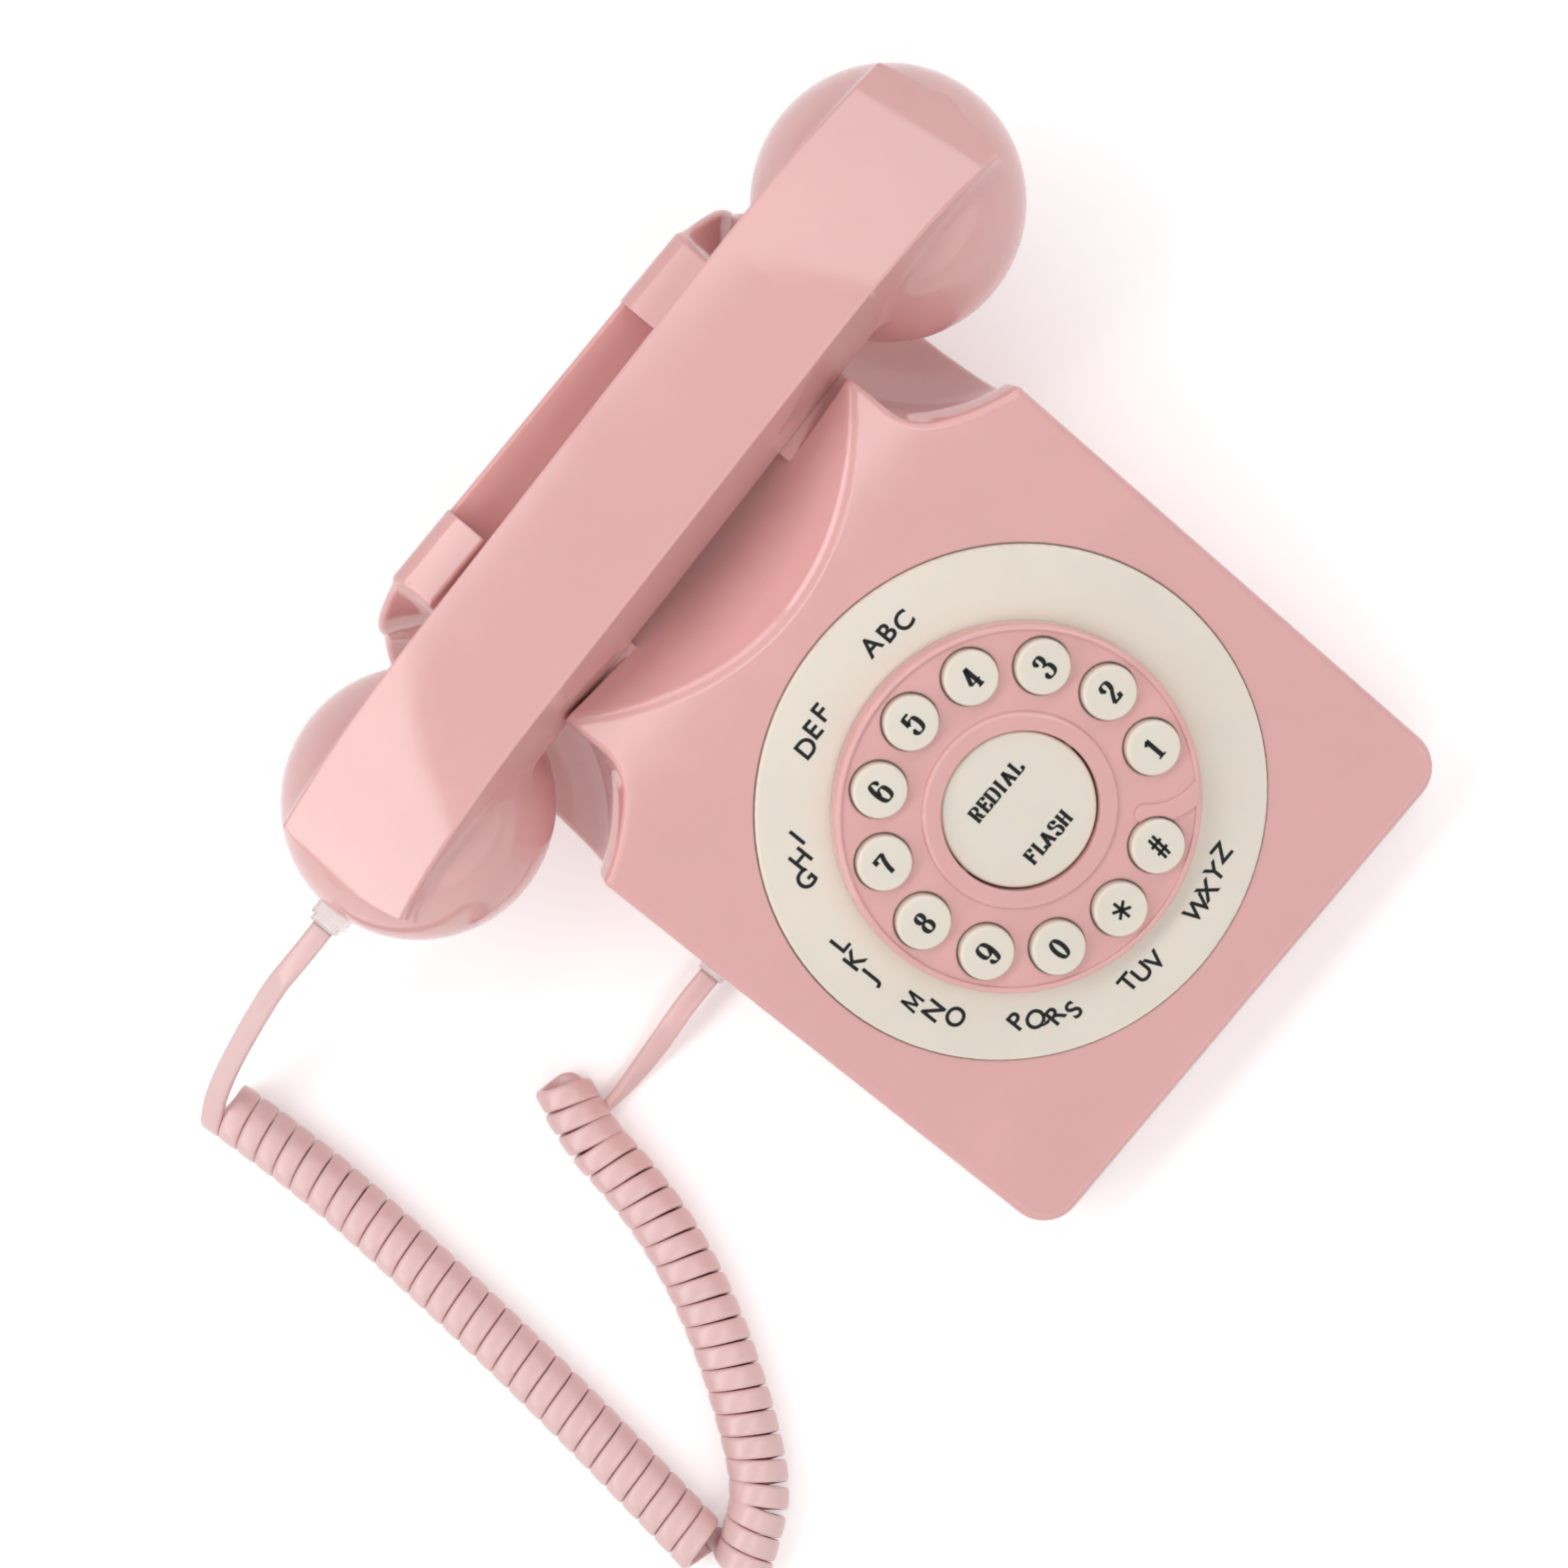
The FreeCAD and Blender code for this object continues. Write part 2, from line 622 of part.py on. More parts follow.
def make_base_parts():
    """Feet, screws, main board, ringer and the two jacks that stand on the base plate."""
    node("rubber_feet", fuse("feet", [rod(f"foot_{number}", "foot_radius", x, y, (0, "foot_height"))
                                      for number, (x, y) in enumerate(FEET)]))
    node("base_screws", screws("base_screw", BASE_SCREWS, "(case_lift + head_height)"))

    board_low = f"({PLATE_TOP} + standoff)"
    board_top = f"({PLATE_TOP} + standoff + board_thickness)"
    board = mid_box("main_board_blank", 0, "main_board_y", (board_low, board_top),
                    "main_board_width", "main_board_length")
    holes = [rod(f"main_hole_{number}", "screw_radius + fit_gap", x, y, (PLATE_TOP, board_top + " + 1"))
             for number, (x, y) in enumerate(MAIN_SCREWS)]
    parts = [mid_box("main_chip", 0, "main_board_y", (board_top, board_top + " + chip_height"),
                     "chip_width", "chip_width")]
    for number in range(4):
        parts.append(rod(f"main_capacitor_{number}", "capacitor_radius", f"({number} - 1.5) * capacitor_step",
                         "main_board_y + main_board_length / 2 - capacitor_inset",
                         (board_top, board_top + " + capacitor_height")))
    node("main_board", fuse("main_board_parts", [cut("main_board_cut", board, holes)] + parts))

    heads = []
    for number, (x, y) in enumerate(MAIN_SCREWS):
        head = rod(f"main_head_{number}", "head_radius", x, y, (board_top, board_top + " + head_height"))
        shank = rod(f"main_shank_{number}", "screw_radius", x, y, (board_low + " - 3", board_top))
        heads.append(fuse(f"main_screw_{number}", [head, shank]))
    node("board_screws", fuse("main_screws", heads))

    flange_top = PLATE_TOP + " + ringer_flange"
    can_top = PLATE_TOP + " + ringer_height - ringer_cap"
    ringer = stacked("ringer_can", [("ringer_radius", PLATE_TOP, flange_top),
                                    ("ringer_radius - ringer_step", flange_top, can_top),
                                    ("ringer_radius / 2", can_top, PLATE_TOP + " + ringer_height")])
    put(ringer, 0, "ringer_y", 0)
    node("ringer", ringer)

    slot_low = f"({PLATE_TOP} + (line_jack_height - line_slot_height) / 2)"
    face = "(body_length / 2 - case_lift / 2)"
    jack = mid_box("line_jack_block", "line_jack_x", f"{face} - line_jack_depth / 2",
                   (PLATE_TOP, PLATE_TOP + " + line_jack_height"), "line_jack_width", "line_jack_depth")
    slot = mid_box("line_jack_slot", "line_jack_x", face, (slot_low, slot_low + " + line_slot_height"),
                   "line_slot_width", "2 * (line_jack_depth - wall)")
    node("line_jack", cut("line_jack_cut", jack, [slot]))
    node("handset_jack", cord_jack("handset_jack", SIDE_FACE, "handset_jack_y", JACK_HEIGHT))


def cord_jack(name, face, y, z):
    """A jack for the cord's plug, with its mouth towards -X at the formula face."""
    block = box(name + "_block", (face, f"{face} + cord_jack_depth"),
                (f"{y} - cord_jack_width / 2", f"{y} + cord_jack_width / 2"),
                (f"{z} - cord_jack_height / 2", f"{z} + cord_jack_height / 2"))
    slot = box(name + "_slot", (f"{face} - 1", f"{face} + plug_length - plug_outside + plug_gap"),
               (f"{y} - plug_width / 2 - plug_gap", f"{y} + plug_width / 2 + plug_gap"),
               (f"{z} - plug_height / 2 - plug_gap", f"{z} + plug_height / 2 + plug_gap"))
    return cut(name + "_cut", block, [slot])


def cord_plug(name, face, y, z):
    """A clear plug with a narrow tail, in a jack whose mouth is at the formula face."""
    block = box(name + "_block",
                (f"{face} - plug_outside + plug_tail", f"{face} + plug_length - plug_outside"),
                (f"{y} - plug_width / 2", f"{y} + plug_width / 2"),
                (f"{z} - plug_height / 2", f"{z} + plug_height / 2"))
    tail = box(name + "_tail", (f"{face} - plug_outside", f"{face} - plug_outside + plug_tail"),
               (f"{y} - plug_width / 2 + plug_tail_step", f"{y} + plug_width / 2 - plug_tail_step"),
               (f"{z} - plug_height / 2 + plug_tail_step", f"{z} + plug_height / 2 - plug_tail_step"))
    return fuse(name + "_solid", [block, tail])


def make_dial():
    """Letter ring, raised disc, keypad mat and board, keys and the redial and flash rocker."""
    ring = cut("ring_cut", rod("ring_blank", "ring_radius", 0, 0, ("-ring_recess", "ring_proud")),
               [rod("ring_hole", "ring_bore", 0, 0, ("-2 * ring_recess", "2 * disc_height"))])
    outer_edge = at_circle(size("ring_radius"), size("ring_proud"), size("ring_edge"))
    on_dial("dial_ring", rounded("ring_round", ring, outer_edge))
    make_disc()
    for number, name in enumerate(KEY_NAMES):
        make_key(number, name)
    make_rocker()
    make_keypad()


KEY_BOTTOM = "(disc_height - disc_wall - key_seat_gap - key_flange_height)"
SADDLE_START = "(rocker_radius + 2 * rocker_gap)"
POSTS = [(f"post_circle * cos({angle})", f"post_circle * sin({angle})") for angle in (90, 210, 330)]


def key_place(number):
    """Formulas for the place of a key on the disc."""
    angle = f"(key_first + {number} * key_step)"
    return f"key_circle * cos({angle})", f"key_circle * sin({angle})"


def make_disc():
    """Raised disc with a rim, hub ring, finger-stop relief, key holes, rocker saddles and screw posts."""
    face = "disc_height"
    under = "(disc_height - disc_wall)"
    top = rod("disc_blank", "disc_radius", 0, 0, ("ring_proud", f"{face} + disc_rim_height"))
    rim_top = size("disc_height") + size("disc_rim_height")
    softened = rounded("disc_round", top, at_circle(size("disc_radius"), rim_top, size("disc_edge")))
    dish = rod("disc_dish", "disc_radius - disc_rim_width", 0, 0, (face, f"{face} + 5"))
    hollow = rod("disc_hollow", "disc_radius - disc_wall", 0, 0, ("ring_proud - 1", under))
    cap = cut("disc_cap", softened, [dish, hollow])

    hub = rod("hub_blank", "hub_radius", 0, 0, (under, f"{face} + hub_height"))
    hub_top = size("disc_height") + size("hub_height")
    hub_edge = rounded("hub_round", hub, at_circle(size("hub_radius"), hub_top, size("hub_edge")))
    relief_top = f"{face} + stop_height"
    key_x, key_y = key_place(0)
    sector = add("Part::Cylinder", "stop_sector")
    bind(sector, Radius="stop_radius + stop_width / 2", Height=f"{relief_top} - {under}", Angle="stop_sweep")
    put(sector, key_x, key_y, under, Z_AXIS, "stop_start")
    inner = rod("stop_inner", "stop_radius - stop_width / 2", key_x, key_y, (0, FAR))
    bend = cut("stop_bend", sector, [inner])
    tip = rod("stop_tip", "stop_width / 2", f"{key_x} + stop_radius * cos(stop_start)",
              f"{key_y} + stop_radius * sin(stop_start)", (under, relief_top))
    stop = common("finger_stop", [fuse("stop_joined", [bend, tip]),
                                  rod("stop_limit", "disc_radius - disc_rim_width / 2", 0, 0, (0, FAR))])

    posts = [rod(f"disc_post_{number}", "post_radius", x, y, ("-wall", under))
             for number, (x, y) in enumerate(POSTS)]
    saddles = [box(f"saddle_{sign}", span, ("-saddle_width / 2", "saddle_width / 2"), (0, under))
               for sign, span in (("left", (f"-{SADDLE_START} - saddle_length", f"-{SADDLE_START}")),
                                  ("right", (SADDLE_START, f"{SADDLE_START} + saddle_length")))]
    holes = [rod("rocker_hole", "rocker_radius + rocker_gap", 0, 0, (under + " - 0.5", FAR)),
             bar("saddle_bore", "pivot_radius + pivot_gap", ("-post_circle - wall", "post_circle + wall"),
                 0, "pivot_height")]
    for number in range(len(KEY_NAMES)):
        x, y = key_place(number)
        holes.append(rod(f"key_hole_{number}", "key_radius + key_gap", x, y, (0, FAR)))
    holes += pilot_holes("disc_pilot", POSTS, "(-3 * wall)")
    on_dial("dial_disc", cut("disc_cut", fuse("disc_solid", [cap, hub_edge, stop] + posts + saddles), holes))


def make_key(number, name):
    """A round key with a flange that the disc keeps in."""
    top = "(disc_height + key_proud)"
    key = stacked(name + "_body", [("key_flange", KEY_BOTTOM, f"{KEY_BOTTOM} + key_flange_height"),
                                   ("key_radius", f"{KEY_BOTTOM} + key_flange_height", top)])
    soften(key, "key_edge", lambda edge: is_circle_at(edge, size("key_radius"),
                                                      size("disc_height") + size("key_proud")))
    x, y = key_place(number)
    place_on_panel(name, key, x, y)


def place_on_panel(label, obj, x, y):
    """Name a sub-part and set it on the panel, x across and y up the slope from the dial's centre."""
    put(obj, x, f"dial_y + ({y}) * cos(panel_slope)",
        PANEL_HEIGHT.format(y="dial_y") + f" + ({y}) * sin(panel_slope)", X_AXIS, "panel_slope")
    node(label, obj)


def make_rocker():
    """Round rocker in the hub, with two pivot pins along X and a rib that carries them."""
    low = "(rocker_top - rocker_thickness)"
    cap = stacked("rocker_cap", [("rocker_radius", low, "rocker_top")])
    soften(cap, "key_edge", lambda edge: is_circle_at(edge, size("rocker_radius"), size("rocker_top")))
    reach = f"({SADDLE_START} + saddle_length)"
    pins = bar("rocker_pins", "pivot_radius", (f"-{reach}", reach), 0, "pivot_height")
    on_dial("redial_flash_rocker", fuse("rocker_solid", [cap, pins]))


def make_keypad():
    """Rubber mat with a pad under each key, the keypad board and its screws."""
    mat_top = "(-wall + mat_thickness)"
    holes = [rod(f"mat_hole_{number}", "post_radius + post_gap", x, y, ("-2 * wall", "disc_height"))
             for number, (x, y) in enumerate(POSTS)]
    sheet_blank = rod("mat_blank", "mat_radius", 0, 0, ("-wall", mat_top))
    pads = []
    for number in range(len(KEY_NAMES)):
        x, y = key_place(number)
        pads.append(rod(f"mat_pad_{number}", "pad_radius", x, y, ("-wall", f"{KEY_BOTTOM} - pivot_gap")))
    for sign in ("-", "+"):
        pads.append(rod(f"mat_pad_{sign}", "pad_radius", 0, f"{sign}rocker_pad_y",
                        ("-wall", "rocker_top - rocker_thickness - pivot_gap")))
    on_dial("keypad_mat", fuse("mat_solid", [cut("mat_cut", sheet_blank, holes)] + pads))
    holes = [rod(f"board_hole_{number}", "screw_radius + fit_gap", x, y, ("-3 * wall", 0))
             for number, (x, y) in enumerate(POSTS)]
    board = rod("keypad_blank", "board_radius", 0, 0, ("-wall - board_thickness", "-wall"))
    on_dial("keypad_board", cut("keypad_cut", board, holes))
    solids = []
    for number, (x, y) in enumerate(POSTS):
        seat = "(-wall - board_thickness)"
        head = rod(f"keypad_head_{number}", "head_radius", x, y, (f"{seat} - head_height", seat))
        shank = rod(f"keypad_shank_{number}", "screw_radius", x, y, (seat, f"{seat} + screw_length / 2"))
        solids.append(fuse(f"keypad_screw_{number}", [head, shank]))
    on_dial("keypad_screws", fuse("keypad_screw_set", solids))


def make_hook():
    """Hook plungers on one bar, with their guide, return spring and switch."""
    bar_top = "(hook_bar_height + hook_bar_thickness)"
    rods = [rod(f"plunger_{side}", "plunger_radius", f"{side}plunger_x", "handset_y",
                (bar_top, "cradle_height - plunger_drop")) for side in ("-", "+")]
    beam = mid_box("hook_bar", 0, "handset_y", ("hook_bar_height", bar_top),
                   "2 * (plunger_x + plunger_radius)", "hook_bar_width")
    button_top = f"({PLATE_TOP} + hook_switch_height + hook_button_height)"
    stem = rod("hook_stem", "hook_stem_radius", 0, "handset_y", (button_top, "hook_bar_height"))
    node("hook_plungers", fuse("hook_moving", rods + [beam, stem]))

    post = "hook_bar_thickness"
    legs = [mid_box(f"hook_leg_{side}", f"{side}(hook_guide_span - {post}) / 2", "handset_y",
                    (PLATE_TOP, "hook_guide_height"), post, "hook_bar_width") for side in ("-", "+")]
    bridge = mid_box("hook_bridge", 0, "handset_y", (f"hook_guide_height - {post}", "hook_guide_height"),
                     "hook_guide_span", "hook_bar_width + 4")
    bore = rod("hook_bore", "hook_stem_radius + hook_stem_gap", 0, "handset_y", (PLATE_TOP, FAR))
    node("hook_guide", cut("hook_guide_cut", fuse("hook_frame", legs + [bridge]), [bore]))

    spring_bore = "hook_stem_radius + hook_stem_gap"
    sleeve = rod("spring_outer", spring_bore + " + spring_wall", 0, "handset_y",
                 ("hook_guide_height", "hook_bar_height"))
    hollow = rod("spring_inner", spring_bore, 0, "handset_y", (0, FAR))
    node("hook_spring", cut("spring_cut", sleeve, [hollow]))
    housing_top = f"({PLATE_TOP} + hook_switch_height)"
    housing = mid_box("switch_housing", 0, "handset_y", (PLATE_TOP, housing_top),
                      "2 * hook_bar_width", "hook_bar_width")
    button = rod("switch_button", "hook_stem_radius / 2", 0, "handset_y", (housing_top, button_top))
    node("hook_switch", fuse("switch_solid", [housing, button]))


HANDLE_FOOT = "(cradle_height + handle_lift)"
SOCKET_FACE = "(-cup_spacing / 2 - cup_radius + socket_inset)"


def handset_solid(name, inset):
    """The handset's solid form about its own middle, drawn in on every face by the formula inset."""
    cups = [ball(f"{name}_cup_{side}", f"cup_radius - ({inset})", f"{side}cup_spacing / 2", 0, "cup_height")
            for side in ("-", "+")]
    beam = add("Part::Wedge", name + "_beam")
    foot = f"handle_foot_width / 2 - ({inset})"
    top = f"handle_top_width / 2 - ({inset})"
    reach = "cup_spacing / 2 + cup_radius"
    bind(beam, Xmin=f"-({reach})", Xmax=reach, X2min=f"-({reach})", X2max=reach,
         Ymin=f"{HANDLE_FOOT} + ({inset})", Ymax="handle_top",
         Zmin=f"-({foot})", Zmax=foot, Z2min=f"-({top})", Z2max=top)
    put(beam, 0, 0, 0, X_AXIS, 90)
    end_x = "(handle_reach - handle_end_radius)"
    ends = [rod(f"{name}_end_{side}", f"handle_end_radius - ({inset})", side + end_x, 0, (0, FAR))
            for side in ("-", "+")]
    between = box(name + "_between", ("-" + end_x, end_x), (-FAR / 2, FAR / 2), (0, FAR))
    handle = common(name + "_handle", [beam, fuse(name + "_plan", ends + [between])])
    bends = []
    for side in ("-", "+"):
        bend = add("Part::Cylinder", f"{name}_bend_{side}")
        bind(bend, Radius=f"handle_bend_radius - ({inset})", Height=FAR)
        bends.append(put(bend, f"{side}handle_bend_start", FAR / 2, "handle_top - handle_bend_radius",
                         X_AXIS, 90))
    middle = box(name + "_middle", ("-handle_bend_start", "handle_bend_start"), (-FAR / 2, FAR / 2),
                 (0, f"handle_top - ({inset})"))
    return common(name, [fuse(name + "_blank", cups + [handle]), fuse(name + "_limit", bends + [middle])])


def handset_edge_radius(edge):
    """The radius of the handset's edges along the handle's top and where its sides meet the cups."""
    if edge.Length < 1e-3:
        return 0
    places = edge.discretize(5)
    height = size("handle_top") - size("cradle_height") - size("handle_lift")
    lean = (size("handle_foot_width") - size("handle_top_width")) / 2 / height
    off_side = [abs(point.y) - size("handle_top_width") / 2 - (size("handle_top") - point.z) * lean
                for point in places]
    is_long = edge.Length > size("handle_foot_width")
    is_high = places[2].z > size("cradle_height") + size("head_height")
    if max(map(abs, off_side)) > 1e-2 or not is_long or not is_high:
        return 0
    cup = Vector(size("cup_spacing") / 2, 0, size("cup_height"))
    off_cup = [Vector(abs(point.x), point.y, point.z).distanceToPoint(cup) - size("cup_radius")
               for point in places]
    return size("neck_edge") if max(map(abs, off_cup)) < 1e-3 else size("handle_edge")


def make_handset():
    """Handset shell, underside cover, caps, capsules, weight, screws and cord socket."""
    outside = rounded("handset_rounded", handset_solid("handset_outside", "0"), handset_edge_radius)
    inside = handset_solid("handset_inside", "handset_wall")
    below = box("handset_below", (-FAR, FAR), (-FAR, FAR), (0, "cup_open"))
    cover_room = box("cover_room", ("-cover_length / 2", "cover_length / 2"),
                     ("-handle_foot_width / 2 + handset_wall", "handle_foot_width / 2 - handset_wall"),
                     (HANDLE_FOOT + " - 1", HANDLE_FOOT + " + 2 * handset_wall"))
    places = [("-cover_screw_x", 0), ("cover_screw_x", 0)]
    cover_top = f"({HANDLE_FOOT} + handset_wall)"
    posts = [rod(f"handset_post_{number}", "boss_radius - 0.5", x, y,
                 (cover_top, "handle_top - handset_wall / 2")) for number, (x, y) in enumerate(places)]
    socket_room = box("socket_room", (-FAR, f"{SOCKET_FACE} + cord_jack_depth"),
                      ("-cord_jack_width / 2 - fit_gap", "cord_jack_width / 2 + fit_gap"),
                      ("socket_height - cord_jack_height / 2 - fit_gap",
                       "socket_height + cord_jack_height / 2 + fit_gap"))
    skin = cut("handset_skin", outside, [inside, below, cover_room, socket_room])
    shell = cut("handset_cut", fuse("handset_joined", [skin] + posts),
                pilot_holes("handset_pilot", places, cover_top))
    on_handset("handset_shell", shell)

    plate = mid_box("cover_blank", 0, 0, (HANDLE_FOOT, cover_top), "cover_length - 2 * fit_gap",
                    "handle_foot_width - 2 * (handset_wall + fit_gap)")
    holes = []
    for number, (x, y) in enumerate(places):
        holes.append(rod(f"cover_hole_{number}", "screw_radius + fit_gap", x, y, (HANDLE_FOOT + " - 1", FAR)))
        holes.append(rod(f"cover_sink_{number}", "head_radius + fit_gap", x, y,
                         (HANDLE_FOOT + " - 1", HANDLE_FOOT + " + head_height")))
    on_handset("handset_cover", cut("cover_cut", plate, holes))
    on_handset("handset_screws", screws("handset_screw", places, f"({HANDLE_FOOT} + head_height)"))
    bar_top = f"({cover_top} + weight_height)"
    weight = mid_box("weight_bar", 0, 0, (cover_top, bar_top), "weight_length", "weight_width")
    groove = mid_box("weight_groove", 0, 0, (f"{bar_top} - weight_height / 4", f"{bar_top} + 1"),
                     "weight_length + 2", "weight_width / 3")
    on_handset("handset_weight", cut("weight_cut", weight, [groove]))
    for label, capsule, height, sign in (("earpiece_cap", "receiver_capsule", "receiver_height", ""),
                                         ("mouthpiece_cap", "microphone_capsule", "microphone_height", "-")):
        make_cap(label, capsule, height, f"{sign}cup_spacing / 2")
    jack = cord_jack("handset_socket", SOCKET_FACE, 0, "socket_height")
    on_handset("handset_socket", jack)
    on_handset("handset_plug", cord_plug("handset_plug", SOCKET_FACE, 0, "socket_height"))


def make_cap(label, capsule, height, x):
    """A perforated cap under a cup of the handset, and the capsule that sits in it."""
    floor = "(cup_bottom + cap_plate)"
    slab = box(label + "_slab", (-FAR, FAR), (-FAR, FAR), ("cup_bottom", "cup_open"))
    dome = common(label + "_dome", [ball(label + "_ball", "cup_radius", x, 0, "cup_height"), slab])
    mouth = "sqrt((cup_radius - handset_wall)^2 - (cup_height - cup_open)^2)"
    spigot = rod(label + "_spigot", mouth + " - fit_gap", x, 0, (floor, "cup_open + cap_spigot"))
    holes = [rod(label + "_bore", "capsule_radius + fit_gap", x, 0, (floor, FAR))]
    for ring, count in ((0, 1), (5, 6), (10, 12)):
        for number in range(count):
            angle = 360 * number / count
            holes.append(rod(f"{label}_hole_{ring}_{number}", "sound_hole", f"{x} + {ring} * cos({angle})",
                             f"{ring} * sin({angle})", (0, floor + " + 1")))
    on_handset(label, cut(label + "_cut", fuse(label + "_solid", [dome, spigot]), holes))
    shoulder, top = f"{floor} + {height} / 2", f"{floor} + {height}"
    can = stacked(capsule + "_can", [("capsule_radius", floor, shoulder),
                                     ("capsule_radius / 2", shoulder, top)])
    put(can, f"({x}) * cos(handset_yaw)", f"handset_y + ({x}) * sin(handset_yaw)", 0)
    node(capsule, can)


def solid_pipe(edges, radius):
    """A round tube along tangent edges, made from the first edge's start."""
    path = Part.Wire(edges)
    start = edges[0].valueAt(edges[0].FirstParameter)
    along = edges[0].tangentAt(edges[0].FirstParameter)
    ring = Part.Wire([Part.Circle(start, along, radius).toShape()])
    tube = path.makePipeShell([ring], True, False)
    return Part.Solid(tube) if tube.ShapeType == "Shell" else tube


def rounded_route(points):
    """Straight runs through points, joined by tangent arcs as large as the runs allow."""
    edges = []
    radii = []
    last = points[0]
    for before, corner, after in zip(points, points[1:], points[2:]):
        into, out = (corner - before).normalize(), (after - corner).normalize()
        half_turn = into.getAngle(out) / 2
        set_back = 0.45 * min(corner.distanceToPoint(before), corner.distanceToPoint(after))
        radii.append(set_back / math.tan(half_turn))
        first, second = corner - into * set_back, corner + out * set_back
        bulge = (out - into).normalize()
        middle = corner + bulge * (radii[-1] / math.cos(half_turn) - radii[-1])
        edges += [Part.LineSegment(last, first).toShape(), Part.Arc(first, middle, second).toShape()]
        last = second
    edges.append(Part.LineSegment(last, points[-1]).toShape())
    return edges, radii


def arc_from(start, heading, end):
    """The arc that leaves start along heading and ends at end."""
    chord = end - start
    along = Vector(chord).normalize()
    aside = heading - along * heading.dot(along)
    if aside.Length < 1e-6:
        return Part.LineSegment(start, end).toShape()
    half = heading.getAngle(along) / 2
    middle = start + chord * 0.5 + aside.normalize() * (chord.Length / 2 * math.tan(half))
    return Part.Arc(start, middle, end).toShape()


def biarc(start, heading, end, leaving):
    """Two arcs from start along heading to end along leaving."""
    gap = end - start
    both = heading + leaving
    square = 2 * (1 - heading.dot(leaving))
    reach = gap.dot(both)
    if square < 1e-9:
        length = gap.dot(gap) / (2 * reach)
    else:
        length = (-reach + math.sqrt(reach * reach + square * gap.dot(gap))) / square
    joint = (start + heading * length + end - leaving * length) * 0.5
    second = arc_from(end, leaving * -1, joint)
    return [arc_from(start, heading, joint), second]


def curl_points(leg, first_angle, last_angle):
    """Points and headings at each quarter turn of a helix about a leg that lies on the table.

    The angles are about the leg, from its right-hand side upwards.
    """
    axis = Part.BSplineCurve()
    axis.interpolate([Vector(x, y, size("coil_height")) for x, y in leg])
    length = axis.length()
    radius = size("curl_radius")
    sweep = math.radians(last_angle - first_angle)
    steps = round(abs(last_angle - first_angle) / 90)
    places = []
    for step in range(steps + 1):
        at = axis.parameterAtDistance(length * step / steps, axis.FirstParameter)
        along = axis.tangent(at)[0]
        across = along.cross(Z_AXIS).normalize()
        angle = math.radians(first_angle) + sweep * step / steps
        out = across * math.cos(angle) + Z_AXIS * math.sin(angle)
        swing = Z_AXIS * math.cos(angle) - across * math.sin(angle)
        heading = (along + swing * (radius * sweep / length)).normalize()
        places.append((axis.value(at) + out * radius, heading))
    return places


def least_gap(points, thickness, apart):
    """Least clear gap between points of a tube that are further apart than apart along it."""
    least = min(points[i].distanceToPoint(points[k]) for i in range(len(points))
                for k in range(i + apart, len(points)))
    return least - thickness


def make_cord():
    """The curly cord as one tube, its two plain leads and the plug at the case."""
    thickness = size("cord_thickness")
    near = curl_points(NEAR_LEG, 55, -90 - 360 * NEAR_TURNS)
    far = curl_points(FAR_LEG, -90, -90 + 360 * FAR_TURNS)
    curls = near + far
    edges = [Part.LineSegment(near[0][0] - near[0][1] * thickness, near[0][0]).toShape()]
    for (start, heading), (end, leaving) in zip(curls, curls[1:]):
        edges += biarc(start, heading, end, leaving)
    edges.append(Part.LineSegment(far[-1][0], far[-1][0] + far[-1][1] * thickness).toShape())
    samples = [point for edge in edges for point in edge.discretize(Distance=1.0)[:-1]]
    half_turn = round(math.pi * size("curl_radius"))
    print("curly cord: least gap %.2f mm" % least_gap(samples, thickness, half_turn))
    tube("curly_cord", edges)

    yaw = Rotation(Z_AXIS, size("handset_yaw"))
    plug_x = -size("cup_spacing") / 2 - size("cup_radius") + size("socket_inset") - size("plug_outside")
    plug_end, plug_run = [yaw.multVec(Vector(x, 0, size("socket_height"))) + Vector(0, size("handset_y"), 0)
                          for x in (plug_x, plug_x - size("plug_run"))]
    coil_start = near[0][0] - near[0][1] * thickness
    lead_in = coil_start - near[0][1] * size("coil_run")
    between = [Vector(*point) for point in LEAD_POINTS]
    route([plug_end, plug_run] + between + [lead_in, coil_start], "handset_lead")

    coil_end = far[-1][0] + far[-1][1] * thickness
    lead_out = coil_end + far[-1][1] * size("coil_run")
    base_end = Vector(-size("body_width") / 2 + size("fit_gap") - size("plug_outside"),
                      size("handset_jack_y"),
                      size("case_lift") + size("plate_thickness") + size("cord_jack_height") / 2)
    base_run = base_end - X_AXIS * size("coil_run")
    between = [Vector(*point) for point in BASE_LEAD_POINTS]
    route([coil_end, lead_out] + between + [base_run, base_end], "base_lead")
    node("base_plug", cord_plug("base_plug", SIDE_FACE, "handset_jack_y", JACK_HEIGHT))


def route(points, label):
    """A plain lead through points, with its bend radii printed."""
    edges, radii = rounded_route(points)
    print(label, "bend radii", [round(radius, 1) for radius in radii])
    tube(label, edges)


def tube(label, edges):
    """Name a round tube along edges, and print its volume against section times length."""
    feature = add("Part::Feature", label)
    feature.Shape = solid_pipe(edges, size("cord_thickness") / 2)
    plain = math.pi * size("cord_thickness") ** 2 / 4 * sum(edge.Length for edge in edges)
    print(label, "volume ratio %.4f" % (feature.Shape.Volume / plain))
    node(label, feature)


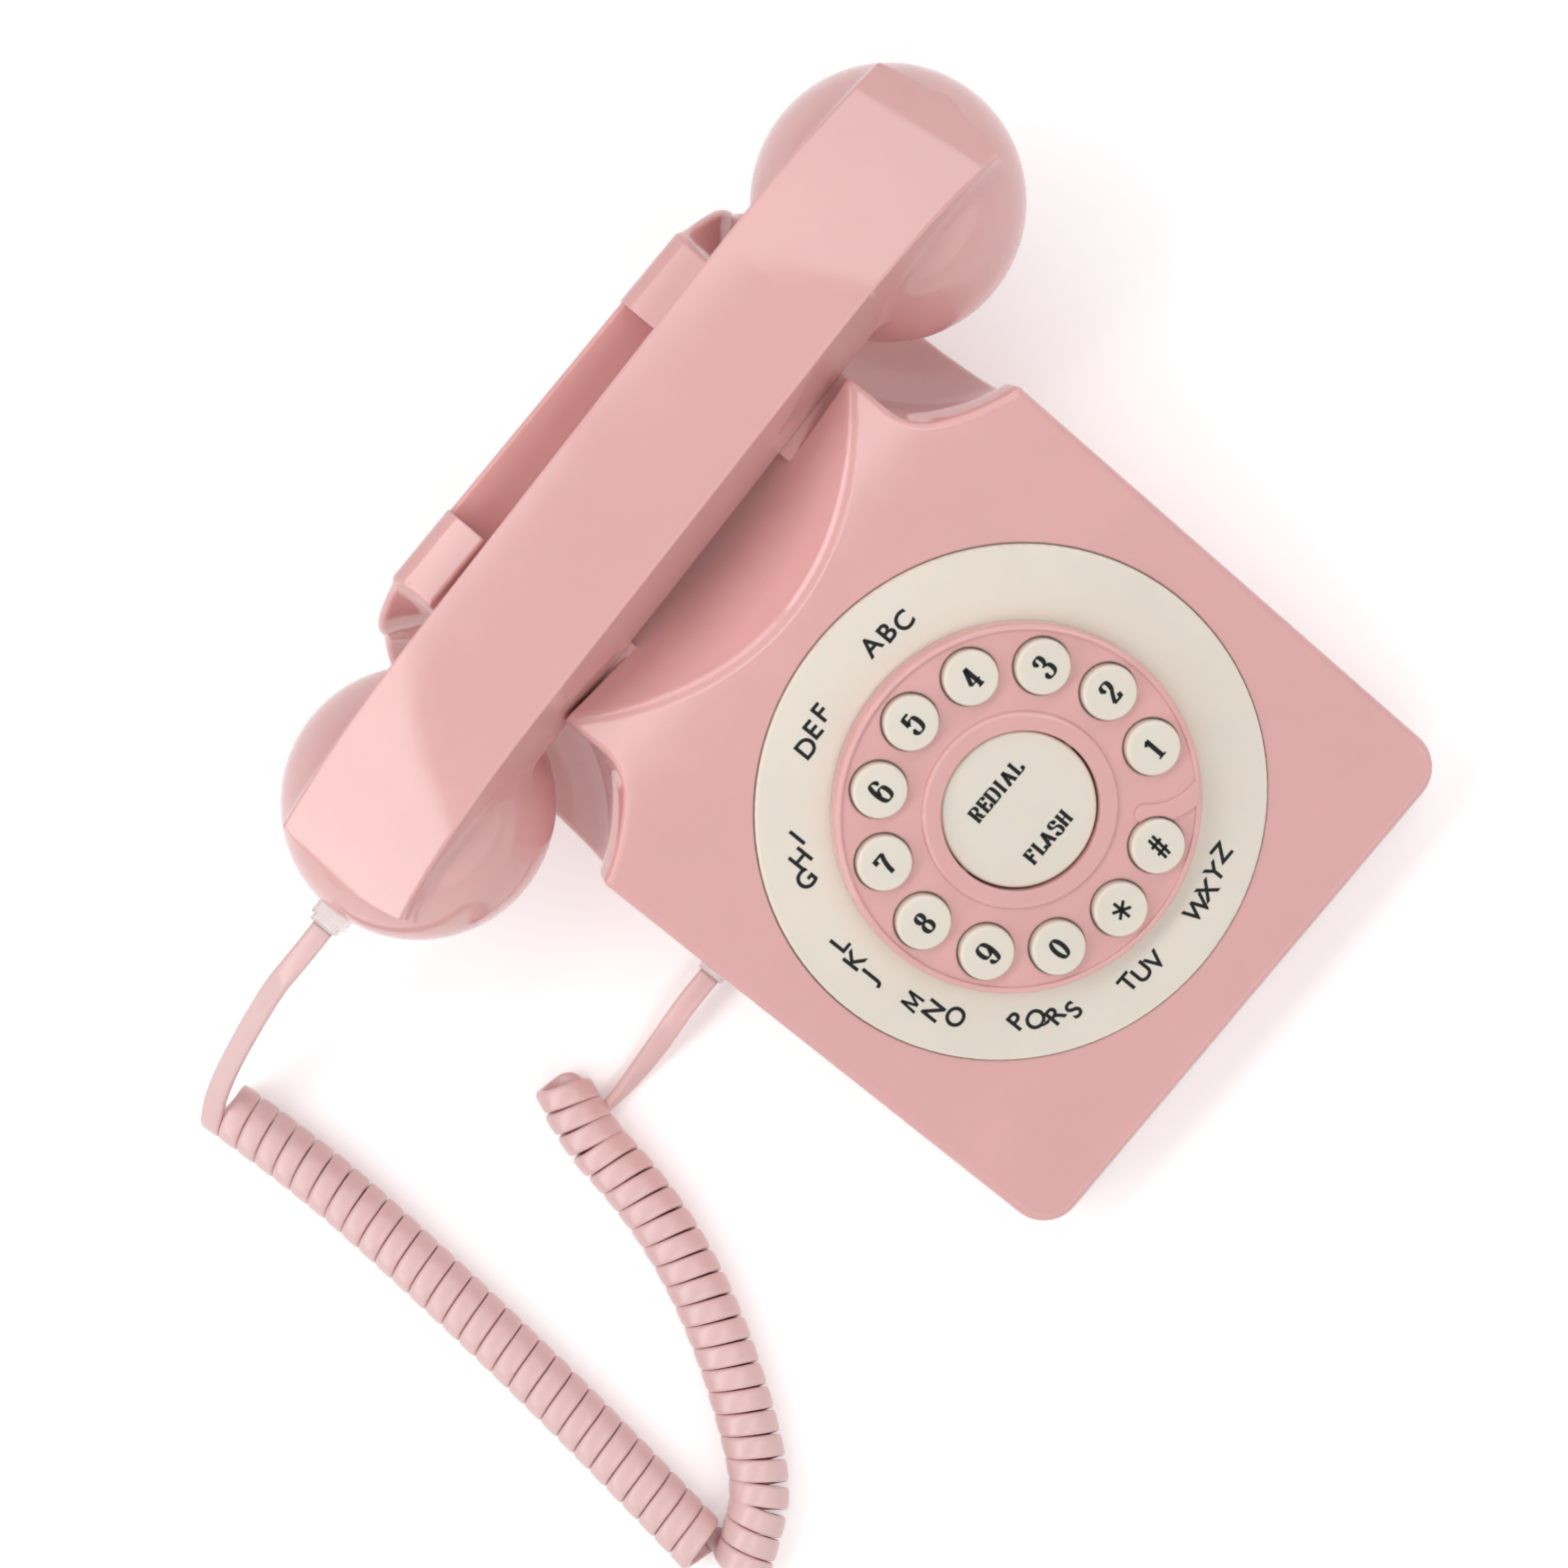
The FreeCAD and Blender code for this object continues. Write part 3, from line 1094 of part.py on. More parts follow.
def write_parts():
    """Check every object and write each sub-part to its own file."""
    doc.recompute()
    for obj in doc.Objects:
        if "Invalid" in obj.State or "Error" in obj.State:
            raise RuntimeError(f"{obj.Label} is {obj.State}")
    for label, obj in nodes.items():
        if obj.Shape.isNull() or not obj.Shape.isValid() or not obj.Shape.Solids:
            raise RuntimeError(f"{label} has no valid solid")
    os.makedirs("parts", exist_ok=True)
    for label, obj in nodes.items():
        obj.Shape.exportStep(f"parts/{label}.step")
        print(label, len(obj.Shape.Solids), "solids, %.1f mm3" % obj.Shape.Volume)


def main():
    """Build the whole telephone."""
    fill_sheet()
    make_upper_case()
    make_base_plate()
    make_base_parts()
    make_dial()
    make_hook()
    make_handset()
    make_cord()
    write_parts()


main()
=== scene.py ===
import json
import math

import bpy
from mathutils import Matrix, Vector


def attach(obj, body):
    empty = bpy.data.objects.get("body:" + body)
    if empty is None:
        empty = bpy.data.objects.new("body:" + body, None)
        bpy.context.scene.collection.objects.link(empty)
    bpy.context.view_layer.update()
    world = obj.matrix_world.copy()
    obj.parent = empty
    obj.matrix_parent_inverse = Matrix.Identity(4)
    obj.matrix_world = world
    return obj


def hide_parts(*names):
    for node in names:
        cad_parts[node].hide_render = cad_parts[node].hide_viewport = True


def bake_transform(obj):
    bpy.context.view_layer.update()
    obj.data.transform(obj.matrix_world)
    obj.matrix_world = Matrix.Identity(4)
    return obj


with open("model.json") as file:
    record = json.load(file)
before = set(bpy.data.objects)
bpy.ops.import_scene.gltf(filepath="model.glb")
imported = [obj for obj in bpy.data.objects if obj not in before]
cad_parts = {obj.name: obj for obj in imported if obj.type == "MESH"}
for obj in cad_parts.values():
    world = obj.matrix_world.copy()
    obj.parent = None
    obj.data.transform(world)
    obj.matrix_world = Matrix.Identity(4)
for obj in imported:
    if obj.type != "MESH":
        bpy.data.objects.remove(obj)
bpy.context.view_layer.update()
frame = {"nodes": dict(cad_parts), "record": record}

# Push-button desk telephone: materials, print, curly cord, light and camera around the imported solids.

NODES = frame["nodes"]
UP = Vector((0, 0, 1))
Y_AXIS = Vector((0, 1, 0))
FORWARD = -Y_AXIS

# Sizes shared with the part's source, in metres and degrees.
DIAL_CENTRE = (0.0, -0.0338, 0.05203)
PANEL_SLOPE = math.radians(21)
KEY_CIRCLE = 0.0311
KEY_START = -25.3
KEY_STEP = 29.07
KEY_TOP = 0.0075
ROCKER_TOP = 0.0050
RING_TOP = 0.0008
PRINT_LIFT = 0.00003
KEYS = ["1", "2", "3", "4", "5", "6", "7", "8", "9", "0", "star", "hash"]

# Cord sizes and routes: the points of the part's source, some moved or added to follow the photograph.
# Angles about a coil's axis are in degrees: 0 is its right side, 90 its top and -90 its bottom.
AXIS_HEIGHT = 0.007
COIL_RADIUS = 0.0056
BAND_WIDTH = 0.0050
BAND_THICKNESS = 0.0024
BAND_SQUARENESS = 0.5
BAND_CORNERS = 18
NEAR_TURNS = 28
FAR_TURNS = 23
LEAD_ANGLE = 55
BOTTOM_ANGLE = -90
CLOSING_TURNS = 1.2
CLOSING_SHARE = 0.10
STEPS_PER_TURN = 26
COIL_LEAD = 0.004
COIL_RUN = 0.008
SPLINE_ORDER = 3
SPLINE_STEPS = 16
TABLE_GAP = 0.0001
LEAD_ROLL_RATE = 1.25
NEAR_LEG = [(-0.1689, 0.0629), (-0.1666, 0.0385), (-0.1670, 0.0076),
            (-0.1682, -0.0231), (-0.1702, -0.0542), (-0.1732, -0.0852)]
FAR_LEG = [(-0.1718, -0.0952), (-0.1640, -0.0918), (-0.1545, -0.0872), (-0.1430, -0.0720),
           (-0.1319, -0.0532), (-0.1247, -0.0355), (-0.1210, -0.0200), (-0.1194, -0.0049)]
COIL_TIP = (-0.1147, 0.0063)
COIL_CORE = [(-0.1128, 0.0052, 0.0022), (-0.1152, 0.0005, 0.0052), (-0.1165, -0.0040, 0.0046)]
HANDSET_END = [(-0.11446, 0.06240, 0.0600), (-0.12395, 0.06214, 0.0600)]
LEAD_POINTS = [(-0.1330, 0.0633, 0.0550)]
BASE_LEAD_POINTS = [(-0.1074, -0.0048, 0.0026), (-0.0970, -0.0046, 0.0035), (-0.0885, -0.0043, 0.0078)]
BASE_END = [(-0.08125, -0.0038, 0.0097), (-0.07325, -0.0038, 0.0097)]


# Meshes

HARD_EDGE = math.radians(32)


def new_mesh(name, points, faces, material, smooth=False):
    """A mesh piece with one material."""
    mesh = bpy.data.meshes.new(name)
    mesh.from_pydata([tuple(p) for p in points], [], faces)
    mesh.materials.append(material)
    mesh.update()
    if smooth:
        mesh.polygons.foreach_set("use_smooth", [True] * len(mesh.polygons))
    piece = bpy.data.objects.new(name, mesh)
    bpy.context.scene.collection.objects.link(piece)
    return piece


def smooth_solid(node):
    """Smooth shading on a solid, with its hard edges kept."""
    mesh = NODES[node].data
    mesh.polygons.foreach_set("use_smooth", [True] * len(mesh.polygons))
    mesh.set_sharp_from_angle(angle=HARD_EDGE)


# Materials

NOISE_LOW = 0.3
NOISE_HIGH = 0.7
SMOOTH_DETAIL = 2.0
GRAIN_DETAIL = 3.0
GRAIN_STRENGTH = 0.3
PLASTIC_IOR = 1.58
CLEAR_IOR = 1.45
SCATTER_SHARE = 0.35
SCATTER_RADII = (1.0, 0.4, 0.25)
SCATTER_DEPTH = 0.0016


def tint(red, green, blue):
    """A screen colour, 0 to 255, as the linear colour that shaders take."""
    def linear(value):
        part = value / 255
        return part / 12.92 if part <= 0.04045 else ((part + 0.055) / 1.055) ** 2.4
    return (linear(red), linear(green), linear(blue), 1.0)


def shade(colour, factor):
    """A linear colour made that much lighter or darker."""
    return tuple(part * factor for part in colour[:3]) + (1.0,)


class Look:
    """A principled material whose colour, gloss and surface all vary a little."""

    def __init__(self, name, colour, roughness):
        self.material = bpy.data.materials.new(name)
        self.material.use_nodes = True
        self.tree = self.material.node_tree
        self.shader = self.tree.nodes["Principled BSDF"]
        self.shader.inputs["Base Color"].default_value = colour
        self.shader.inputs["Roughness"].default_value = roughness
        self.colour = colour
        self.roughness = roughness
        self.place = self.tree.nodes.new("ShaderNodeTexCoord").outputs["Object"]
        self.material.diffuse_color = colour

    def set(self, **values):
        """Values for the shader's own sockets."""
        for name, value in values.items():
            self.shader.inputs[name.replace("_", " ")].default_value = value
        return self

    def noise(self, scale, detail=SMOOTH_DETAIL):
        """A noise fixed to the piece, with that many waves in a metre."""
        node = self.tree.nodes.new("ShaderNodeTexNoise")
        node.inputs["Scale"].default_value = scale
        node.inputs["Detail"].default_value = detail
        self.tree.links.new(self.place, node.inputs["Vector"])
        return node.outputs["Fac"]

    def clouds(self, scale, amount):
        """Slow change of colour, by that share darker and lighter."""
        ramp = self.tree.nodes.new("ShaderNodeValToRGB")
        ramp.color_ramp.elements[0].position = NOISE_LOW
        ramp.color_ramp.elements[1].position = NOISE_HIGH
        ramp.color_ramp.elements[0].color = shade(self.colour, 1 - amount)
        ramp.color_ramp.elements[1].color = shade(self.colour, 1 + amount)
        self.tree.links.new(self.noise(scale), ramp.inputs["Fac"])
        self.tree.links.new(ramp.outputs["Color"], self.shader.inputs["Base Color"])
        return self

    def gloss(self, scale, amount):
        """Gloss that changes from place to place."""
        spread = self.tree.nodes.new("ShaderNodeMapRange")
        spread.inputs["From Min"].default_value = NOISE_LOW
        spread.inputs["From Max"].default_value = NOISE_HIGH
        spread.inputs["To Min"].default_value = self.roughness - amount
        spread.inputs["To Max"].default_value = self.roughness + amount
        self.tree.links.new(self.noise(scale), spread.inputs["Value"])
        self.tree.links.new(spread.outputs["Result"], self.shader.inputs["Roughness"])
        return self

    def grain(self, scale, height):
        """Fine unevenness of the surface, in metres."""
        bump = self.tree.nodes.new("ShaderNodeBump")
        bump.inputs["Strength"].default_value = GRAIN_STRENGTH
        bump.inputs["Distance"].default_value = height
        self.tree.links.new(self.noise(scale, GRAIN_DETAIL), bump.inputs["Height"])
        self.tree.links.new(bump.outputs["Normal"], self.shader.inputs["Normal"])
        self.bump = bump
        return self

    def soft_edges(self, radius):
        """Edges that catch the light as if rounded by a radius, under the grain."""
        bevel = self.tree.nodes.new("ShaderNodeBevel")
        bevel.inputs["Radius"].default_value = radius
        self.tree.links.new(bevel.outputs["Normal"], self.bump.inputs["Normal"])
        return self


def plastic(name, colour, roughness, edge=0.0006, depth=0.0):
    """Moulded plastic with softened edges, into which light goes to a depth."""
    look = Look(name, colour, roughness).clouds(45, 0.018).gloss(120, 0.02).grain(1400, 0.000015)
    look.set(IOR=PLASTIC_IOR)
    if depth:
        look.set(Subsurface_Weight=SCATTER_SHARE, Subsurface_Scale=depth, Subsurface_Radius=SCATTER_RADII)
    return look.soft_edges(edge).material


def make_looks():
    """One material for each slot of the record, and one for the print."""
    looks = {
        "pink_plastic": plastic("pink_plastic", tint(226, 174, 172), 0.055, depth=SCATTER_DEPTH),
        "ivory_plastic": plastic("ivory_plastic", tint(229, 221, 208), 0.2, edge=0.0004,
                                 depth=SCATTER_DEPTH),
        "cord_plastic": plastic("cord_plastic", tint(228, 190, 188), 0.3),
        "inner_plastic": plastic("inner_plastic", tint(70, 66, 64), 0.5),
    }
    looks["print_black"] = (Look("print_black", tint(20, 18, 18), 0.6).gloss(900, 0.05)
                            .set(Specular_IOR_Level=0.2).material)
    looks["clear_plastic"] = (Look("clear_plastic", tint(238, 228, 226), 0.08).gloss(160, 0.04)
                              .clouds(300, 0.04).set(Transmission_Weight=0.8, IOR=CLEAR_IOR).material)
    looks["dark_rubber"] = (Look("dark_rubber", tint(44, 42, 42), 0.8).clouds(90, 0.12)
                            .grain(1100, 0.00008).material)
    looks["grey_rubber"] = (Look("grey_rubber", tint(150, 146, 142), 0.75).clouds(80, 0.05)
                            .grain(1100, 0.00006).material)
    looks["circuit_board"] = (Look("circuit_board", tint(58, 104, 70), 0.45).clouds(260, 0.12)
                              .gloss(300, 0.06).material)
    looks["screw_steel"] = (Look("screw_steel", tint(176, 176, 178), 0.3).gloss(700, 0.1)
                            .grain(1800, 0.00003).set(Metallic=1.0).material)
    looks["weight_iron"] = (Look("weight_iron", tint(92, 90, 88), 0.55).clouds(120, 0.1)
                            .grain(700, 0.0001).set(Metallic=1.0).material)
    return looks


LOOKS = make_looks()


def dress_solids():
    """Each solid gets the material of its slot in the record."""
    for entry in frame["record"]["subparts"]:
        node, slot = entry["node"], entry["material_slot"]
        mesh = NODES[node].data
        mesh.materials.clear()
        mesh.materials.append(LOOKS[slot])
        smooth_solid(node)


# Curly cord

def spline_line(control):
    """Points along a NURBS spline with these control points."""
    curve = bpy.data.curves.new("route", "CURVE")
    curve.dimensions = "3D"
    curve.resolution_u = SPLINE_STEPS
    spline = curve.splines.new("NURBS")
    spline.points.add(len(control) - 1)
    for point, place in zip(spline.points, control):
        point.co = (*place, 1.0)
    spline.order_u = SPLINE_ORDER
    spline.use_endpoint_u = True
    holder = bpy.data.objects.new("route", curve)
    mesh = bpy.data.meshes.new_from_object(holder)
    line = [vertex.co.copy() for vertex in mesh.vertices]
    bpy.data.objects.remove(holder)
    bpy.data.curves.remove(curve)
    bpy.data.meshes.remove(mesh)
    return line


def running_lengths(line):
    """The distance along a line to each of its points."""
    marks = [0.0]
    for start, end in zip(line, line[1:]):
        marks.append(marks[-1] + (end - start).length)
    return marks


def on_line(line, marks, distance):
    """The place on a line at a distance from its start, and the line's direction there."""
    index = 0
    while index < len(line) - 2 and marks[index + 1] < distance:
        index += 1
    step = line[index + 1] - line[index]
    share = (distance - marks[index]) / (marks[index + 1] - marks[index])
    return line[index] + step * share, step.normalized()


def curls(leg, first_angle, last_angle, closing=0.0):
    """Places on a coil about a leg, with their outward directions. The closing turns narrow a little."""
    axis = spline_line([(x, y, AXIS_HEIGHT) for x, y in leg])
    marks = running_lengths(axis)
    count = round(abs(last_angle - first_angle) / 360 * STEPS_PER_TURN)
    places, outs = [], []
    for step in range(count + 1):
        share = step / count
        centre, along = on_line(axis, marks, share * marks[-1])
        across = along.cross(UP).normalized()
        angle = math.radians(first_angle + (last_angle - first_angle) * share)
        out = across * math.cos(angle) + UP * math.sin(angle)
        turns_left = (1 - share) * abs(last_angle - first_angle) / 360
        drawn_in = CLOSING_SHARE * (1 - turns_left / closing) ** 2 if turns_left < closing else 0
        places.append(centre + out * COIL_RADIUS * (1 - drawn_in))
        outs.append(out)
    return places, outs


def band(name, places, outs, material):
    """A flat cord along places, with its flat side facing the directions in outs."""
    def squared(value):
        return math.copysign(abs(value) ** BAND_SQUARENESS, value)
    section = []
    for corner in range(BAND_CORNERS):
        angle = 2 * math.pi * corner / BAND_CORNERS
        section.append((squared(math.cos(angle)) * BAND_WIDTH / 2,
                        squared(math.sin(angle)) * BAND_THICKNESS / 2))
    points, faces = [], []
    for index, place in enumerate(places):
        along = places[min(index + 1, len(places) - 1)] - places[max(index - 1, 0)]
        side = along.cross(outs[index]).normalized()
        flat = side.cross(along).normalized()
        ring = [place + side * across + flat * up for across, up in section]
        points += [(point.x, point.y, max(point.z, TABLE_GAP)) for point in ring]
    for ring in range(len(places) - 1):
        low, high = ring * BAND_CORNERS, (ring + 1) * BAND_CORNERS
        for corner in range(BAND_CORNERS):
            after = (corner + 1) % BAND_CORNERS
            faces.append((low + corner, low + after, high + after, high + corner))
    faces.append(tuple(reversed(range(BAND_CORNERS))))
    faces.append(tuple(range(len(points) - BAND_CORNERS, len(points))))
    return new_mesh(name, points, faces, material, smooth=True)


def make_cords():
    """The handset's lead with the near leg of the coil, and the far leg with the lead to the case."""
    near, near_outs = curls(NEAR_LEG, LEAD_ANGLE, BOTTOM_ANGLE - 360 * NEAR_TURNS)
    heading = (near[1] - near[0]).normalized()
    coil_start = near[0] - heading * COIL_LEAD
    lead_in = coil_start - heading * COIL_RUN
    lead = spline_line(HANDSET_END + LEAD_POINTS + [lead_in, coil_start])
    near_places = lead + near
    near_cord = band("near_cord", near_places, [UP] * len(lead) + near_outs, LOOKS["cord_plastic"])

    last_angle = BOTTOM_ANGLE + 360 * FAR_TURNS
    far, far_outs = curls(FAR_LEG + [COIL_TIP], BOTTOM_ANGLE, last_angle, CLOSING_TURNS)
    arrival = (near[-1] - near[-2]).normalized()
    leaving = (far[1] - far[0]).normalized()
    turn = spline_line([near[-1], near[-1] + arrival * COIL_LEAD, far[0] - leaving * COIL_LEAD, far[0]])
    base_lead = spline_line([far[-1]] + COIL_CORE + BASE_LEAD_POINTS + BASE_END)[1:]
    lead_outs = []
    for index in range(len(base_lead)):
        roll = math.pi * min(1.0, index / len(base_lead) * LEAD_ROLL_RATE) - math.pi / 2
        lead_outs.append(FORWARD * math.cos(roll) + UP * math.sin(roll))
    far_places = turn[:-1] + far + base_lead
    far_outs = [-UP] * (len(turn) - 1) + far_outs + lead_outs
    far_cord = band("far_cord", far_places, far_outs, LOOKS["cord_plastic"])

    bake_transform(near_cord)
    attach(far_cord, "base")
    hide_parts("handset_lead", "curly_cord")
    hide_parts("base_lead", "curly_cord")


# Print on keys, rocker and ring

# Each glyph stands on the line 0 and is 1 high. A bow is a curved stroke given by its control points,
# a stem a straight stroke, a slab or a bar a straight stroke of even weight, a loop an oval and a dot
# a round end.
SERIF_LOW = ("stem", (0.03, 0.03), (0.33, 0.03))
SERIF_HIGH = ("stem", (0.03, 0.97), (0.33, 0.97))
LEFT_STEM = ("stem", (0.18, 0.02), (0.18, 0.98))
LEFT_SIDE = [LEFT_STEM, SERIF_LOW, SERIF_HIGH]
TOP_ARM = ("stem", (0.20, 0.97), (0.58, 0.97))
MIDDLE_ARM = [("stem", (0.20, 0.51), (0.42, 0.51)), ("stem", (0.42, 0.62), (0.42, 0.40))]
DIGIT_WIDTH = 0.60
DIGIT_RISE = 0.97


def half_turned(strokes):
    """Bows and dots of a digit, turned by half a turn."""
    turned = []
    for kind, *values in strokes:
        turned.append((kind, *[(DIGIT_WIDTH - value[0], DIGIT_RISE - value[1]) if isinstance(value, tuple)
                               else value for value in values]))
    return turned


SIX = [("bow", (0.46, 0.80), (0.40, 0.98), (0.07, 1.00), (0.07, 0.00), (0.53, -0.04), (0.54, 0.58),
        (0.20, 0.62), (0.12, 0.36)),
       ("dot", (0.44, 0.80), 0.08)]
GLYPHS = {
    "0": [("loop", (0.30, 0.49), (0.20, 0.46))],
    "1": [("stem", (0.31, 0.02), (0.31, 0.97)), ("stem", (0.12, 0.03), (0.50, 0.03)),
          ("stem", (0.31, 0.95), (0.12, 0.80))],
    "2": [("bow", (0.13, 0.74), (0.11, 0.99), (0.50, 1.01), (0.50, 0.62), (0.32, 0.42), (0.11, 0.08)),
          ("slab", (0.10, 0.07), (0.48, 0.07)), ("stem", (0.48, 0.04), (0.52, 0.26)),
          ("dot", (0.17, 0.73), 0.085)],
    "3": [("bow", (0.13, 0.78), (0.14, 0.99), (0.47, 1.01), (0.47, 0.53), (0.24, 0.53)),
          ("bow", (0.24, 0.53), (0.54, 0.54), (0.55, 0.00), (0.12, -0.03), (0.11, 0.22)),
          ("dot", (0.17, 0.77), 0.08), ("dot", (0.15, 0.21), 0.085)],
    "4": [("stem", (0.39, 0.02), (0.39, 0.98)), ("stem", (0.38, 0.97), (0.06, 0.30)),
          ("stem", (0.05, 0.29), (0.56, 0.29)), ("stem", (0.24, 0.03), (0.53, 0.03))],
    "5": [("slab", (0.14, 0.91), (0.47, 0.91)), ("stem", (0.16, 0.93), (0.13, 0.50)),
          ("bow", (0.13, 0.50), (0.25, 0.67), (0.55, 0.68), (0.56, -0.02), (0.12, -0.03), (0.11, 0.22)),
          ("dot", (0.15, 0.21), 0.085)],
    "6": SIX,
    "7": [("slab", (0.09, 0.90), (0.53, 0.90)), ("stem", (0.09, 0.95), (0.075, 0.70)),
          ("bow", (0.52, 0.90), (0.28, 0.52), (0.27, 0.02))],
    "8": [("loop", (0.30, 0.745), (0.155, 0.20)), ("loop", (0.30, 0.27), (0.195, 0.235))],
    "9": half_turned(SIX),
    "star": [("slab", (0.30, 0.12), (0.30, 0.86)), ("slab", (0.02, 0.31), (0.58, 0.67)),
             ("slab", (0.02, 0.67), (0.58, 0.31))],
    "hash": [("slab", (0.19, 0.05), (0.25, 0.93)), ("slab", (0.37, 0.05), (0.43, 0.93)),
             ("slab", (0.07, 0.33), (0.53, 0.33)), ("slab", (0.09, 0.64), (0.55, 0.64))],
    "A": [("stem", (0.34, 0.98), (0.10, 0.03)), ("stem", (0.33, 0.98), (0.60, 0.03)),
          ("stem", (0.18, 0.32), (0.50, 0.32)), ("stem", (0.00, 0.03), (0.22, 0.03)),
          ("stem", (0.46, 0.03), (0.74, 0.03))],
    "D": [*LEFT_SIDE,
          ("bow", (0.20, 0.97), (0.44, 0.97), (0.70, 0.92), (0.70, 0.08), (0.44, 0.03), (0.20, 0.03))],
    "E": [*LEFT_SIDE, TOP_ARM, ("stem", (0.58, 0.98), (0.58, 0.74)), *MIDDLE_ARM,
          ("stem", (0.20, 0.03), (0.60, 0.03)), ("stem", (0.60, 0.02), (0.61, 0.27))],
    "F": [*LEFT_SIDE, TOP_ARM, ("stem", (0.58, 0.98), (0.58, 0.72)), *MIDDLE_ARM],
    "H": [*LEFT_SIDE, ("stem", (0.60, 0.02), (0.60, 0.98)), ("stem", (0.45, 0.03), (0.75, 0.03)),
          ("stem", (0.45, 0.97), (0.75, 0.97)), ("stem", (0.20, 0.51), (0.60, 0.51))],
    "I": LEFT_SIDE,
    "L": [*LEFT_SIDE, ("stem", (0.20, 0.03), (0.58, 0.03)), ("stem", (0.59, 0.02), (0.60, 0.30))],
    "M": [("bar", (0.04, 0.00), (0.10, 1.00)), ("bar", (0.10, 0.98), (0.43, 0.12)),
          ("bar", (0.43, 0.12), (0.76, 0.98)), ("bar", (0.76, 1.00), (0.82, 0.00))],
    "R": [*LEFT_SIDE, ("bow", (0.20, 0.97), (0.62, 1.00), (0.62, 0.50), (0.20, 0.51)),
          ("bow", (0.36, 0.51), (0.48, 0.40), (0.50, 0.00), (0.70, 0.05))],
    "S": [("bow", (0.48, 0.72), (0.44, 1.01), (0.08, 1.02), (0.06, 0.62), (0.55, 0.52), (0.56, -0.04),
           (0.13, -0.04), (0.09, 0.28)),
          ("stem", (0.48, 0.97), (0.48, 0.72)), ("stem", (0.09, 0.03), (0.09, 0.28))],
}
THICK = 0.101
THIN = 0.038
EVEN_WEIGHTS = {"slab": 0.055, "bar": 0.076}
GLYPH_MIDDLE = Vector((0.30, 0.5, 0))
LOOP_STEPS = 40
DOT_STEPS = 20
CAPITAL_SHARE = 0.70


def round_line(middle, wide, high, steps):
    """Points round an oval, from its right side on, without the first one again."""
    x, y = middle
    angles = [2 * math.pi * step / steps for step in range(steps)]
    return [Vector((x + wide * math.cos(angle), y + high * math.sin(angle), 0)) for angle in angles]


class Print:
    """Flat glyphs gathered for one mesh, in the plane of the dial."""

    def __init__(self, boldness=1.0):
        self.boldness = boldness
        self.points = []
        self.faces = []

    def ribbon(self, line, weight, place, height):
        """A stroke along a line, as wide as weight says for each direction."""
        start = len(self.points)
        for index, point in enumerate(line):
            along = line[min(index + 1, len(line) - 1)] - line[max(index - 1, 0)]
            normal = Vector((-along.y, along.x, 0)).normalized()
            half = normal * weight(normal)
            self.points += [place + (point + half) * height, place + (point - half) * height]
        for index in range(len(line) - 1):
            low = start + 2 * index
            self.faces.append((low, low + 1, low + 3, low + 2))

    def glyph(self, name, place, height):
        """One glyph with its lower left corner at place."""
        def pen(normal):
            return self.boldness * math.hypot(THICK * normal.x, THIN * normal.y)
        for kind, *values in GLYPHS[name]:
            if kind == "bow":
                self.ribbon(spline_line([(x, y, 0) for x, y in values]), pen, place, height)
            elif kind == "stem":
                self.ribbon([Vector((x, y, 0)) for x, y in values], pen, place, height)
            elif kind in EVEN_WEIGHTS:
                line = [Vector((x, y, 0)) for x, y in values]
                self.ribbon(line, lambda normal: EVEN_WEIGHTS[kind], place, height)
            elif kind == "loop":
                middle, (wide, high) = values
                line = round_line(middle, wide, high, LOOP_STEPS)
                self.ribbon(line + line[:1], pen, place, height)
            else:
                middle, radius = values
                start = len(self.points)
                line = round_line(middle, radius, radius, DOT_STEPS)
                self.points += [place + point * height for point in line]
                self.faces.append(tuple(range(start, start + DOT_STEPS)))

    def word(self, word, middle, height, spacing):
        """A line of glyphs about its middle."""
        left = middle.x - spacing * (len(word) - 1) / 2
        for index, name in enumerate(word):
            width = max(x for kind, *values in GLYPHS[name] if kind != "dot" for x, y in values)
            place = Vector((left + index * spacing - width * height / 2, middle.y - height / 2, middle.z))
            self.glyph(name, place, height)

    def letter(self, letter, middle, height):
        """One plain letter from the built-in lettering."""
        curve = bpy.data.curves.new("letter", "FONT")
        curve.body = letter
        curve.align_x = "CENTER"
        curve.size = height / CAPITAL_SHARE
        curve.offset = LETTER_WEIGHT
        holder = bpy.data.objects.new("letter", curve)
        mesh = bpy.data.meshes.new_from_object(holder)
        start = len(self.points)
        self.points += [middle + vertex.co - Vector((0, height / 2, 0)) for vertex in mesh.vertices]
        self.faces += [tuple(start + index for index in face.vertices) for face in mesh.polygons]
        bpy.data.objects.remove(holder)
        bpy.data.curves.remove(curve)
        bpy.data.meshes.remove(mesh)

    def piece(self, name, body):
        """The gathered print as one piece on the dial, riding a body."""
        dial = Matrix.Translation(DIAL_CENTRE) @ Matrix.Rotation(PANEL_SLOPE, 4, "X")
        places = [dial @ point for point in self.points]
        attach(new_mesh(name, places, self.faces, LOOKS["print_black"]), body)


